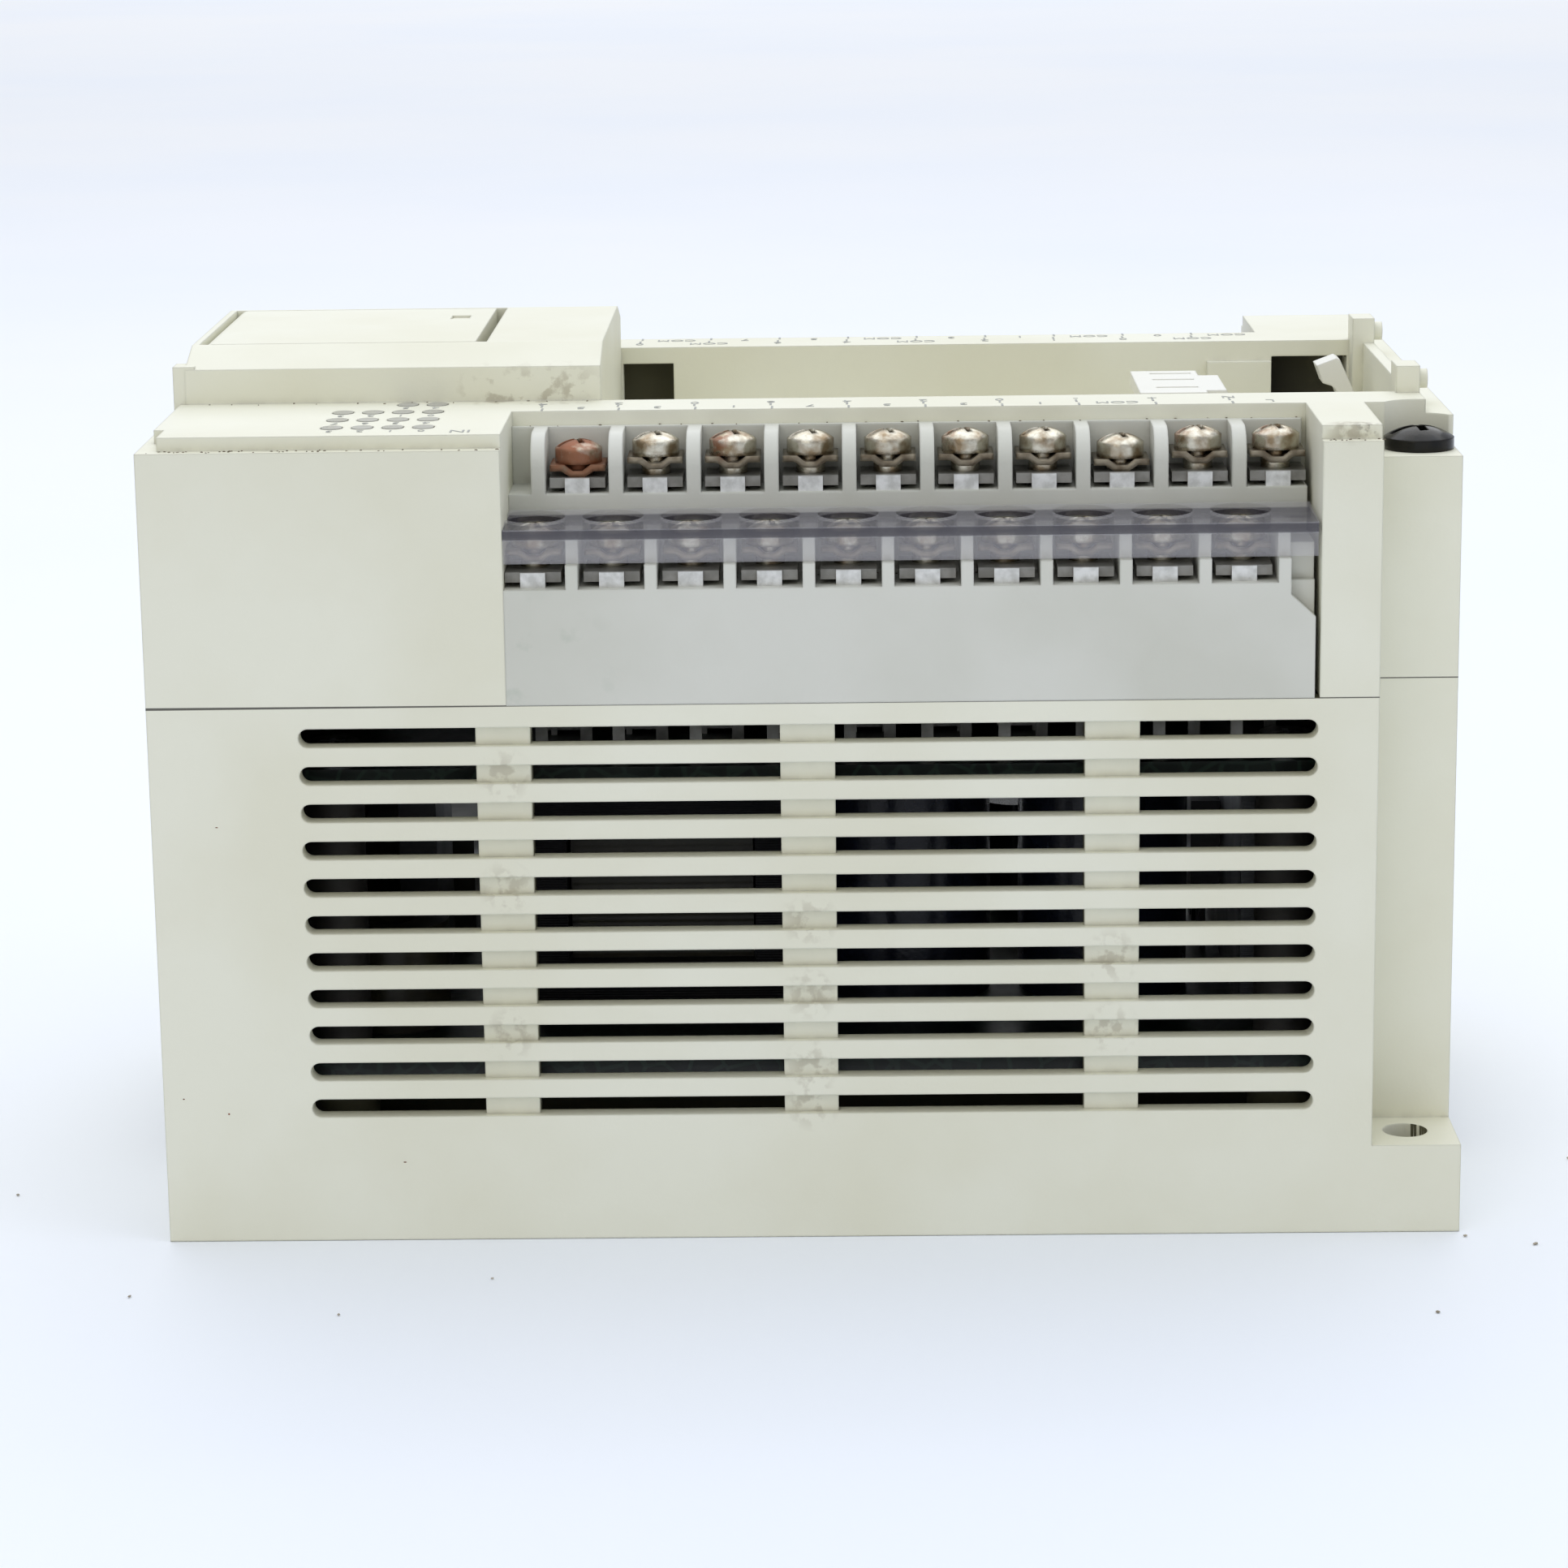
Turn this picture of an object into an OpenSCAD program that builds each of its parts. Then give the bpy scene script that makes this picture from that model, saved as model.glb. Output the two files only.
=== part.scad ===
// Compact brick controller with two-tier screw terminals on both long sides.
// It lies on its mounting face. X runs along the case, Y from the input side to the
// output side, Z up from the mounting face. The origin is the centre of that face.

/* [Case] */
// Length of the case along X
case_l = 130; // [128:1:150]
// Width of the case along Y
case_w = 90; // [86:1:104]
// Height of the seam between base and upper case
seam_z = 55; // [52:0.5:60]
// Height of the raised block above the mounting face
total_h = 87; // [85:0.5:96]
// Wall thickness of both case halves
wall = 2.2; // [1.8:0.1:2.6]
// Drop from the raised block to the label panel
panel_drop = 5.34; // [4.8:0.1:5.8]
// Height of the small step round the label panel
shoulder_step = 1.36; // [1:0.1:2]

/* [Corner recesses and mounting tabs] */
// Length of a corner recess along X
recess_l = 8.94; // [8:0.1:10]
// Width of a corner recess along Y
recess_w = 9.34; // [8.5:0.1:10.5]
// Thickness of a mounting tab
tab_h = 9.1; // [5:0.1:12]
// Diameter of a mounting hole
mount_hole_d = 4.5; // [3.5:0.1:5.5]
// Distance of a mounting hole from both case edges
mount_hole_inset = 5; // [4.5:0.1:5.5]
// Height of the seat under a case screw head
seat_drop = 4.36; // [4:0.1:6]

/* [Vents] */
// Number of vent slots in each long wall
vent_rows = 11; // [4:1:11]
// Spacing of the vent slots
vent_pitch = 3.8; // [3.4:0.1:3.8]
// Height of a vent slot
vent_h = 1.9; // [1.2:0.1:2.2]
// Length of a vent slot
vent_l = 100.2; // [60:1:104]
// Distance of the top slot's centre line below the seam
vent_top = 3.1; // [2:0.1:3.2]
// Width of the upright ribs behind the slots
vent_rib_w = 5.4; // [3:0.1:8]
// Spacing of the upright ribs
vent_rib_pitch = 30; // [20:1:36]

/* [Terminal bays] */
// Length of a terminal bay along X
bay_l = 79.7; // [79.4:0.1:82]
// Depth of a terminal bay, measured from the long face
bay_d = 16.94; // [16.9:0.02:17.4]
// Width of the pillar beside a bay
pillar_w = 5.86; // [5:0.1:8]
// Width of the label rail behind a bay
rail_w = 7.48; // [7:0.1:9]
// Number of terminals in one tier
term_n = 10; // [4:1:10]
// Terminal spacing
term_pitch = 7.72; // [7.4:0.02:7.74]
// Drop from the label panel to the lower tier
tier_drop = 15.16; // [14.6:0.02:16]
// Height of the upper tier above the lower tier
tier_rise = 7.9; // [7.6:0.1:8.2]
// Width of the plain tier wall between lower compartments
low_wall = 1.22; // [1:0.02:1.3]
// Width of the tier wall between upper compartments
high_wall = 1.42; // [1:0.02:1.5]
// Diameter of a terminal screw head
term_head_d = 4.7; // [4:0.1:5]
// Diameter of a terminal screw shank
term_shank_d = 2.9; // [2.5:0.1:3]
// Thickness of a terminal guard strip
guard_t = 1.1; // [0.8:0.1:1.2]
// Diameter of the screwdriver holes in a guard strip
guard_hole_d = 6; // [5.2:0.1:6.4]

/* [Raised block, lid and channel] */
// Length of the raised block along X
block_l = 42.5; // [40:0.5:44]
// Half width of the flat crown of the raised block
crown_hy = 15; // [14.6:0.1:16]
// Height of the crown above the block's long edges
crown_rise = 1.8; // [1.4:0.1:2.2]
// Length of the port lid
lid_l = 27.3; // [22:0.1:27.6]
// Width of the port lid
lid_w = 28.4; // [24:0.1:28.4]
// Thickness of the port lid
lid_t = 2; // [1.8:0.1:2.2]
// Width of the finger slot beside the lid
slot_w = 1.15; // [1:0.05:3]
// Depth of the open channel below the label panel
channel_depth = 13.66; // [13:0.1:14.2]

/* [Rail groove and clip] */
// Width of the mounting rail held by the groove
din_rail_w = 35; // [35:0.5:36]
// Depth of the rail groove
groove_z = 7.7; // [7.5:0.1:8]
// Thickness of a rail flange with play
flange_t = 1.4; // [1.2:0.1:1.6]
// Travel of the sliding clip
clip_travel = 4; // [3:0.5:4.5]
// Width of the sliding clip
clip_w = 24.8; // [18:0.1:26]

/* [Boards] */
// Thickness of every circuit board
board_t = 1.6; // [1.2:0.1:1.8]
// Height of the power board above the mounting face
power_z = 15; // [14:0.5:16]
// Drop from the seam to the terminal board
io_drop = 9; // [8.6:0.1:10]
// Distance of the board spacers from the case ends
spacer_end = 17; // [16:0.5:25]
// Distance of the board spacers from the case sides
spacer_side = 10.5; // [10:0.1:11]

/* [Hidden] */
$fn = 40;
eps = 0.02;
hx = case_l / 2;
hy = case_w / 2;
panel_z = total_h - panel_drop;
shoulder_z = panel_z - shoulder_step;
seat_z = panel_z - seat_drop;
rec_x = hx - recess_l;
rec_y = hy - recess_w;
in_x = hx - wall;
in_y = hy - wall;
bay_y = hy - bay_d;
chan_y = bay_y - rail_w;
bay_x1 = rec_x - pillar_w;
bay_x0 = bay_x1 - bay_l;
block_x0 = -hx + 1.6;
block_x1 = block_x0 + block_l;
chan_x1 = hx - 3.8;
chan_z = panel_z - channel_depth;
floor_t = 2;
panel_in = 1.55;
panel_x0 = -hx + 2;
panel_x1 = hx - 2.6;
under_panel = panel_z - 2.16;
left_x1 = min(bay_x0 - wall, block_x1 - 1.8);
rail_back = wall * 0.82;
screw_x = hx - 3.7;
screw_y = rec_y - 5.46;
screw_head_r = 3.5;
screw_head_h = 2.3;
// terminal positions
low_z = panel_z - tier_drop;
high_z = low_z + tier_rise;
low_y = hy - 6;
high_y = bay_y + 3.74;
tier_y = hy - 9.5;
low_x = bay_x1 - 42.13;
high_x = bay_x1 - 38.1;
block_end = bay_x1 - 0.5;
back_top = shoulder_z - 0.1;
plate_gap = 0.5;
plate_t = 1;
washer_z = 2.2;
washer_t = 0.6;
washer_dip = 0.6;
head_h = 2.3;
leg_y = 1.8;
leg_t = 0.7;
leg_w = 1.2;
guard_slope = 0.0454;
guard_z = low_z + 6;
guard_drop = 3.4;
plate_hw = (term_pitch - high_wall) / 2 - 0.4;
// boards
io_z = seam_z - io_drop;
main_top = chan_z - floor_t - 2.4;
main_z = main_top - board_t;
hanger_len = chan_z - floor_t - main_z - 0.2;
display_top = under_panel - 3.9;
display_z = display_top - board_t;
power_top = power_z + board_t;
io_top = io_z + board_t;
bay_h = io_z - power_top;
vent_z0 = seam_z - vent_top - (vent_rows - 1) * vent_pitch;
relay_hw = term_pitch / 2 - 0.46;
opto_n = 7;
core_x = -16;
core_hl = 14;
core_top = power_top + bay_h - 5.4;
can_r = 9;
fuse_r = 2.6;
fuse_x = -21;
fuse_y = 27;
sink_x = 44.6;
stud_r = 1.2;
floor_z = 2.5;
groove_top = groove_z + 2.5;
groove_y = din_rail_w / 2 + 0.2;
clip_z = groove_z - flange_t;
clip_t = 2.2;
lip = 2;
// lid
lid_z = total_h - lid_t;
hinge_x = block_x0 + 2;
lid_x1 = hinge_x + lid_l;
lid_r = lid_t / 2;
pin_r = 0.5;
// rows of indicator windows
led_cols = 4;
led_px = 3.02;
led_py = 5.2;
led_x0 = block_x0 + 16.9;
led_y0 = chan_y + 1.9;
// channel fittings
latch_x = chan_x1 - 26.2;
latch_z = panel_z - 1.76;
latch_hinge = [latch_x + 8, chan_z + 3];
hook_hinge = [chan_x1 - 1.9, chan_z + 3];
hook_y = 8;
switch_pos = [chan_x1 - 40, -chan_y + 5];
port_pos = [chan_x1 - 9.5, -chan_y + 9.5];
pot_x = block_x1 + 9;
pot_y = 7;
run = 0.06;

ivory = [0.86, 0.86, 0.78];
grey = [0.74, 0.77, 0.75];
smoke = [0.35, 0.33, 0.38, 0.5];
nickel = [0.7, 0.68, 0.64];
black = [0.12, 0.12, 0.12];
green = [0.1, 0.35, 0.2];
blue = [0.1, 0.2, 0.5];

// ---------------------------------------------------------------- helpers
module box(x0, x1, y0, y1, z0, z1)
  translate([x0, y0, z0]) cube([x1 - x0, y1 - y0, z1 - z0]);

// plate from a profile drawn in Y and Z, running from x0 to x1
module along_x(x0, x1)
  translate([x0, 0, 0]) rotate([90, 0, 90]) linear_extrude(x1 - x0) children();

// plate from a profile drawn in X and Z, running from y0 to y1
module along_y(y0, y1)
  translate([0, y1, 0]) rotate([90, 0, 0]) linear_extrude(y1 - y0) children();

module both_sides() { children(); mirror([0, 1, 0]) children(); }

// the two diagonal corners that hold a recess: right front and left back
module both_corners() { children(); rotate([0, 0, 180]) children(); }

module output_side() mirror([0, 1, 0]) children();

function tier_x(mid, i) = mid + (i - (term_n - 1) / 2) * term_pitch;

module each_low() for (i = [0 : term_n - 1]) translate([tier_x(low_x, i), -low_y, low_z]) children();

// ---------------------------------------------------------------- case halves
module case_outline() difference() {
  square([case_l, case_w], center = true);
  both_corners() translate([rec_x, -hy - 1]) square([recess_l + 1, recess_w + 1]);
}

module corner_cut(z0, z1) both_corners() box(rec_x, hx + 1, -hy - 1, -rec_y, z0, z1);

// one vent slot with round ends, drawn on the wall
module vent_slot() {
  square([vent_l - vent_h, vent_h], center = true);
  for (s = [-1, 1]) translate([s * (vent_l - vent_h) / 2, 0]) circle(d = vent_h, $fn = 24);
}

module vents() both_sides() for (i = [0 : vent_rows - 1])
  along_y(-hy - 1, -in_y + eps) translate([0, vent_z0 + i * vent_pitch]) vent_slot();

module vent_ribs() both_sides() for (x = [-1, 0, 1])
  box(x * vent_rib_pitch - vent_rib_w / 2, x * vent_rib_pitch + vent_rib_w / 2,
    -hy + 0.9, -in_y + 2, floor_z, seam_z - 1.5);

module base_shell() color(ivory) { base_body(); clip_peg(); }

module base_body() difference() {
  union() {
    difference() {
      box(-hx, hx, -hy, hy, 0, seam_z);
      corner_cut(tab_h, seam_z + 1);
      base_cavity();
      vents();
      // rail groove
      box(-hx - 1, hx + 1, -groove_y, groove_y, -1, groove_z);
    }
    vent_ribs();
    // fixed lip that hooks under the rail flange
    box(-hx + 1, hx - 1, -groove_y - eps, -groove_y + lip, clip_z - 2, clip_z);
    clip_housing();
    each_spacer() translate([0, 0, floor_z - eps]) cylinder(r = 3.5, h = power_z - floor_z + eps);
    both_corners() translate([screw_x, -screw_y, seam_z - 28]) cylinder(r = 3.6, h = 28);
  }
  // clip pocket, open below
  box(-clip_w / 2 - 0.2, clip_w / 2 + 0.2, groove_y - 1, hy + 1, clip_z - clip_t - 0.1, clip_z + 0.1);
  box(-clip_w / 2 + 1.8, clip_w / 2 - 1.8, groove_y - 1, hy + 1, -1, clip_z);
  box(-clip_w / 2 - 0.2, clip_w / 2 + 0.2, hy - 4, hy + 1, -1, clip_z);
  each_spacer() translate([0, 0, 5]) cylinder(r = stud_r + 0.05, h = 20, $fn = 24);
  both_corners() {
    translate([screw_x, -screw_y, seam_z - 20]) cylinder(r = 1.75, h = 21, $fn = 24);
    translate([hx - mount_hole_inset, -hy + mount_hole_inset, -1])
      cylinder(d = mount_hole_d, h = tab_h + 2);
  }
}

module base_cavity() difference() {
  box(-in_x, in_x, -in_y, in_y, floor_z, seam_z + 1);
  both_corners() box(rec_x - wall, hx, -hy, -rec_y + wall, 0, seam_z + 2);
  box(-hx, hx, -groove_y - wall, groove_y + wall, 0, groove_top);
}

// thick zone that guides the clip, with a stop peg for its slot
module clip_housing() {
  box(-clip_w / 2 - 2.6, clip_w / 2 + 2.6, groove_y, in_y + eps, 0, clip_z + 2.4);
}

module clip_peg() {
  translate([0, groove_y + 9, clip_z - clip_t]) cylinder(r = 1.5, h = clip_t + 0.4, $fn = 24);
}

module upper_case() color(ivory) { upper_shell(); hanging_posts(); }

module upper_shell() difference() {
  union() {
    translate([0, 0, seam_z]) linear_extrude(shoulder_z - seam_z) case_outline();
    box(panel_x0, panel_x1, -hy + panel_in, hy - panel_in, shoulder_z - 1, panel_z);
    box(-hx + 1, panel_x0 + 1, -hy + 6.6, hy - 6.6, shoulder_z - 1, panel_z);
    raised_block();
    cover_lugs();
  }
  // screw seats, open to the corner
  both_corners() {
    box(rec_x, hx + 1, -hy - 1, -bay_y, seat_z, total_h + 1);
    box(rec_x, hx + 1, -hy - 1, -rec_y, seam_z - 1, total_h + 1);
    translate([screw_x, -screw_y, seam_z - 1]) cylinder(r = 2.1, h = total_h, $fn = 24);
    translate([screw_x, -screw_y, seat_z]) cylinder(r = screw_head_r + 0.35, h = total_h);
  }
  // hinge holes of the terminal covers
  both_sides() translate([-hx, -chan_y + 1.3, total_h - 4.2]) rotate([0, 90, 0])
    cylinder(r = 1.05, h = 1.5, $fn = 24);
  both_sides() terminal_bay();
  upper_cavities();
  channel();
  lid_opening();
  light_windows();
}

module terminal_bay() box(bay_x0, bay_x1, -hy - 1, -bay_y, seam_z - 1, total_h + 1);

module raised_block() along_x(block_x0, block_x1) polygon([
  [-chan_y - 0.07, shoulder_z - 1], [-chan_y - 0.07, total_h - crown_rise], [-crown_hy, total_h],
  [crown_hy, total_h], [chan_y + 0.07, total_h - crown_rise], [chan_y + 0.07, shoulder_z - 1]]);

// hinge lugs for the terminal covers: holes at the left, pins at the right
module cover_lugs() both_sides() {
  box(-hx + 0.35, block_x0 + 1, -chan_y, -chan_y + 3, shoulder_z - 1, total_h - 1.5);
  box(chan_x1 - 1.2, hx - 2.6, -chan_y - 1.2, -chan_y + 3.2, shoulder_z - 6, total_h - 2.6);
  translate([hx - 3, -chan_y + 1.3, total_h - 4.2]) rotate([0, 90, 0]) cylinder(r = 1, h = 1.4, $fn = 24);
}

module upper_cavities() {
  // under the label panel at the left end
  box(-in_x, bay_x0 - wall, -in_y, -bay_y + 1, seam_z - 1, under_panel);
  box(-in_x, left_x1, -bay_y - 1, bay_y - rail_back, seam_z - 1, under_panel);
  box(-rec_x + wall, left_x1, 0, bay_y + 1, seam_z - 1, under_panel);
  box(-rec_x + wall, bay_x0 - wall, bay_y - rail_back, in_y, seam_z - 1, under_panel);
  // under the channel floor
  box(left_x1 - 1, in_x, -bay_y + rail_back, bay_y - rail_back, seam_z - 1, chan_z - floor_t);
  both_sides() rail_hollow();
  // inside the raised block
  box(block_x0 + 1.8, block_x1 - 1.8, -chan_y + 1.8, chan_y - 1.8, seam_z, lid_z - 1.2);
  box(lid_x1 + slot_w + 1.6, block_x1 - 1.8, -crown_hy + 1, crown_hy - 1, seam_z, total_h - 1.8);
  // pillars
  box(bay_x1 + 1.5, rec_x - 1.5, -hy + 1.5, -bay_y - 2, seam_z - 1, under_panel - 1);
  box(bay_x1 + 1.5, in_x, bay_y + 2, in_y, seam_z - 1, under_panel);
}

module rail_hollow()
  box(bay_x0 + 8, chan_x1 - 1.3, -bay_y + rail_back, -chan_y - rail_back, seam_z, under_panel);

module channel() difference() {
  union() {
    box(block_x1, chan_x1, -chan_y, chan_y, chan_z, total_h - eps);
    // windows in the output side wall
    box(block_x1 + 0.2, block_x1 + 5.8, chan_y - 1, chan_y + 3, chan_z + 1, panel_z - 1.8);
    box(chan_x1 - 9.8, chan_x1 - 1.45, chan_y - 1, chan_y + 3, chan_z + 1, panel_z - 1.75);
    // windows in the floor
    for (s = [-1, 1]) translate([pot_x, s * pot_y, chan_z - 4]) cylinder(r = 3.6, h = 8);
    translate([switch_pos[0] - 5.4, switch_pos[1] - 2.9, chan_z - 4]) cube([10.8, 5.8, 8]);
    translate([port_pos[0], port_pos[1], chan_z - 4]) cylinder(r = 6.6, h = 8);
    box(block_x1 + 18.8, block_x1 + 41.2, -3.2, 3.2, chan_z - 4, chan_z + 4);
  }
  // plate standing in front of the output side wall
  box(chan_x1 - 17, chan_x1 - 9.9, chan_y - 1, chan_y + 1, chan_z - 1, panel_z - 2.2);
  // corner columns under the cover lugs
  both_sides() box(chan_x1 - 1.2, hx, -chan_y - 2, -chan_y + 3.2, chan_z - 1, total_h);
  hinge_ears(latch_hinge[0], 6.2);
  translate([0, hook_y + 2, 0]) hinge_ears(hook_hinge[0], 2.2);
}

// two ears with a pin hole, standing on the channel floor
module hinge_ears(x, half) for (s = [-1, 1]) difference() {
  translate([x, s * (half + 0.9), chan_z - 1]) union() {
    translate([-1.5, -0.7, 0]) cube([3, 1.4, 4]);
    translate([0, 0.7, 4]) rotate([90, 0, 0]) cylinder(r = 1.5, h = 1.4, $fn = 24);
  }
  translate([x, s * (half + 0.9) + 2, chan_z + 3]) rotate([90, 0, 0])
    cylinder(r = 0.62, h = 4, $fn = 24);
}

module lid_opening() {
  // rebate that the lid lies in, and the finger slot beside it
  box(hinge_x - lid_r - 0.3, lid_x1 + slot_w, -lid_w / 2 - 0.2, lid_w / 2 + 0.2, lid_z, total_h + 1);
  box(lid_x1 + 0.05, lid_x1 + slot_w, -lid_w / 2 - 0.2, lid_w / 2 + 0.2, shoulder_z, total_h);
  box(hinge_x - lid_r - 0.3, hinge_x + 1.5, -lid_w / 2 - 0.2, lid_w / 2 + 0.2, lid_z - 1.3, total_h);
  box(hinge_x - lid_r, lid_x1 + slot_w, -lid_w / 2 + 1.4, lid_w / 2 - 1.4, shoulder_z, total_h);
  // hinge pin sockets
  both_sides() translate([hinge_x, -lid_w / 2 - 0.9, total_h - lid_r]) rotate([-90, 0, 0])
    cylinder(r = pin_r + run, h = 2, $fn = 24);
}

module oval(r) { square([2 * r, 0.6], center = true);
  for (s = [-1, 1]) translate([0, s * 0.3]) circle(r = r, $fn = 24); }

// grid positions of the indicator windows, counted from the raised block outwards
module light_grid(skip) for (c = [0 : led_cols - 1], r = [0 : 3])
  if (!(r == 0 && c < skip)) translate([led_x0 + c * led_px, -led_y0 - r * led_py, 0]) children();

module light_windows() {
  translate([0, 0, under_panel - 1]) linear_extrude(4) light_grid(2) oval(1.1);
  output_side() translate([0, 0, under_panel - 1]) linear_extrude(4) {
    output_grid() oval(1.1);
    status_grid() oval(1.1);
  }
}

module output_grid() for (c = [0 : led_cols - 1], r = [1 : 3])
  if (!(r == 1 && c < 2)) translate([led_x0 + c * led_px, -led_y0 - r * led_py, 0]) children();

module status_grid() for (r = [0 : 3])
  translate([led_x0 - 1 - led_px, -led_y0 - r * led_py, 0]) children();

module light_pipe() translate([0, 0, display_top]) linear_extrude(panel_z + 0.05 - display_top) oval(1);

module input_lights() color(grey) light_grid(2) light_pipe();
module output_lights() color(grey) output_side() output_grid() light_pipe();
module status_lights() color(grey) output_side() status_grid() light_pipe();

// ---------------------------------------------------------------- lid and clip
module port_lid() color(ivory) difference() {
  union() {
    box(hinge_x, lid_x1, -lid_w / 2, lid_w / 2, lid_z, total_h);
    translate([hinge_x, lid_w / 2, total_h - lid_r]) rotate([90, 0, 0]) cylinder(r = lid_r, h = lid_w);
    translate([hinge_x, lid_w / 2 + 0.7, total_h - lid_r]) rotate([90, 0, 0])
      cylinder(r = pin_r, h = lid_w + 1.4, $fn = 24);
    // stiffening ribs underneath
    for (y = [-10.6, 10.6]) box(hinge_x + 4, lid_x1 - 2, y - 0.6, y + 0.6, lid_z - 1, lid_z + eps);
  }
  // small marking recess
  box(lid_x1 - 4.3, lid_x1 - 2.3, 5, 8, total_h - 0.25, total_h + 1);
}

module din_clip() color(ivory) difference() {
  union() {
    box(-clip_w / 2, clip_w / 2, groove_y + 0.1, hy - 0.4, clip_z - clip_t, clip_z);
    // nose that reaches under the rail flange, with a lead-in slope
    along_x(-clip_w / 2 + 2, clip_w / 2 - 2) polygon([[groove_y - lip, clip_z], [groove_y + 0.2, clip_z],
      [groove_y + 0.2, clip_z - clip_t], [groove_y - lip + 1, clip_z - clip_t]]);
    // finger tab
    box(-clip_w / 2 + 4, clip_w / 2 - 4, hy - 3.4, hy - 0.4, 0.6, clip_z);
  }
  // slot round the stop peg
  box(-1.7, 1.7, groove_y + 9 - 1.7 - clip_travel, groove_y + 9 + 1.7, 0, clip_z + 1);
  // screwdriver slot
  box(-3, 3, hy - 7.4, hy - 5.2, 0, clip_z + 1);
  // two bowed spring legs cut from the plate
  for (s = [-1, 1]) for (j = [0 : 2])
    box(s * 7.6 - 2.4 + (j % 2) * 0.8, s * 7.6 + 1.6 + (j % 2) * 0.8,
      groove_y + 4 + j * 3.2, groove_y + 5.6 + j * 3.2,
      0, clip_z + 1);
}

// ---------------------------------------------------------------- terminals
module terminal_block() color(grey) difference() {
  union() {
    along_x(bay_x0, block_end) polygon([[-hy, seam_z], [-hy, low_z], [-tier_y, low_z], [-tier_y, high_z],
      [-bay_y - 0.95, high_z], [-bay_y - 0.95, back_top], [-bay_y, back_top], [-bay_y, seam_z]]);
    for (i = [1 : term_n]) low_partition(tier_x(low_x, i - 0.5));
    for (i = [0 : term_n - 1]) high_partition(tier_x(high_x, i - 0.5));
    box(tier_x(low_x, term_n - 0.5), block_end, -hy + 2.4, -tier_y, low_z - 1, low_z + 3.6);
  }
  // open underneath
  box(bay_x0 + 1.6, block_end - 1.6, -hy + 1.7, -bay_y - 1.05, seam_z - 1, low_z - 2);
  box(bay_x0 + 1.6, block_end - 1.6, -tier_y + 1.5, -bay_y - 1.05, seam_z, high_z - 2);
  // bevelled end at the front
  along_y(-hy - 1, -hy + 1.6) polygon([[block_end - 2.4, low_z + 0.01], [block_end + 1, low_z + 0.01],
    [block_end + 1, low_z - 3.4], [block_end, low_z - 3.4], [block_end - 2.4, low_z - 1.2]]);
  each_terminal() terminal_holes();
}

module low_partition(x) along_x(x - low_wall / 2, x + low_wall / 2) polygon([
  [-hy, low_z - 1], [-hy, guard_z - guard_drop - 0.2], [-hy + guard_t + 0.1, guard_z - guard_drop - 0.2],
  [-hy + guard_t + 0.1, guard_z - guard_t - 0.12],
  [-tier_y + eps, guard_z - guard_t - 0.12 + (hy - tier_y - guard_t) * guard_slope],
  [-tier_y + eps, low_z - 1]]);

module high_partition(x) along_x(x - high_wall / 2, x + high_wall / 2) {
  r = 3;
  translate([-tier_y + r, high_z - 1]) square([tier_y - bay_y - r, back_top - high_z + 1]);
  translate([-tier_y, high_z - 1]) square([r + 1, back_top - high_z + 1 - r]);
  translate([-tier_y + r, back_top - r]) circle(r = r);
}

module each_terminal() {
  each_low() children();
  for (i = [0 : term_n - 1]) translate([tier_x(high_x, i), -high_y, high_z]) children();
}

module terminal_holes() {
  translate([0, 0, -5]) cylinder(d = term_shank_d + 0.6, h = 6, $fn = 24);
  box(-leg_w / 2 - 0.2, leg_w / 2 + 0.2, leg_y - 0.15, leg_y + leg_t + 0.1, -5, 1);
}

// contact plate with a bent front lip and a solder leg down to the terminal board
module terminal_plate(front, z) difference() {
  union() {
    box(-plate_hw, plate_hw, -front, 2.5, plate_gap, plate_gap + plate_t);
    box(-1.22, 1.22, -front - 0.5, -front + 0.4, 0, plate_gap + plate_t);
    box(-leg_w / 2, leg_w / 2, leg_y, leg_y + leg_t, io_z - 2 - z, plate_gap + eps);
  }
  translate([0, 0, -1]) cylinder(d = term_shank_d + 0.1, h = 4, $fn = 24);
}

// self-lifting saddle washer with a central dip
module clamp_washer() translate([0, 0, washer_z]) difference() {
  d = washer_dip;
  w = plate_hw;
  along_y(-2.5, 2.45) polygon([[-w, d], [-1.6, d], [-0.7, 0], [0.7, 0], [1.6, d], [w, d],
    [w, d + washer_t], [1.3, d + washer_t], [0.5, washer_t], [-0.5, washer_t],
    [-1.3, d + washer_t], [-w, d + washer_t]]);
  translate([0, 0, -1]) cylinder(d = term_shank_d + 0.3, h = 4, $fn = 24);
}

module terminal_screw() {
  z = washer_z + washer_dip + washer_t;
  r = term_head_d / 2;
  translate([0, 0, -4.4]) cylinder(d = term_shank_d, h = z + 4.4 + eps, $fn = 24);
  translate([0, 0, z]) difference() {
    rotate_extrude() { square([r, head_h * 0.42]); intersection() {
        square([r, head_h]); translate([0, head_h - 3.6]) circle(r = 3.6); } }
    for (a = [0, 90]) rotate([0, 0, a + 20]) translate([-1.3, -0.3, head_h - 1.1]) cube([2.6, 0.6, 2]);
    rotate([0, 0, 20]) translate([-r, -0.3, head_h - 0.75]) cube([2 * r, 0.6, 2]);
  }
}

// two tightened screws sit lower than the rest
function tight(i, n) = (i == 0 || i == n - 3) ? -0.7 : 0;

module terminal_row(tight_row) {
  for (i = [0 : term_n - 1]) {
    translate([tier_x(low_x, i), -low_y, low_z]) children();
    translate([tier_x(high_x, i), -high_y, high_z + (tight_row ? tight(i, term_n) : 0)]) children();
  }
}

module terminal_plates() color(nickel) for (i = [0 : term_n - 1]) {
  translate([tier_x(low_x, i), -low_y, low_z]) terminal_plate(4.4, low_z);
  translate([tier_x(high_x, i), -high_y, high_z]) terminal_plate(2.9, high_z);
}

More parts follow.
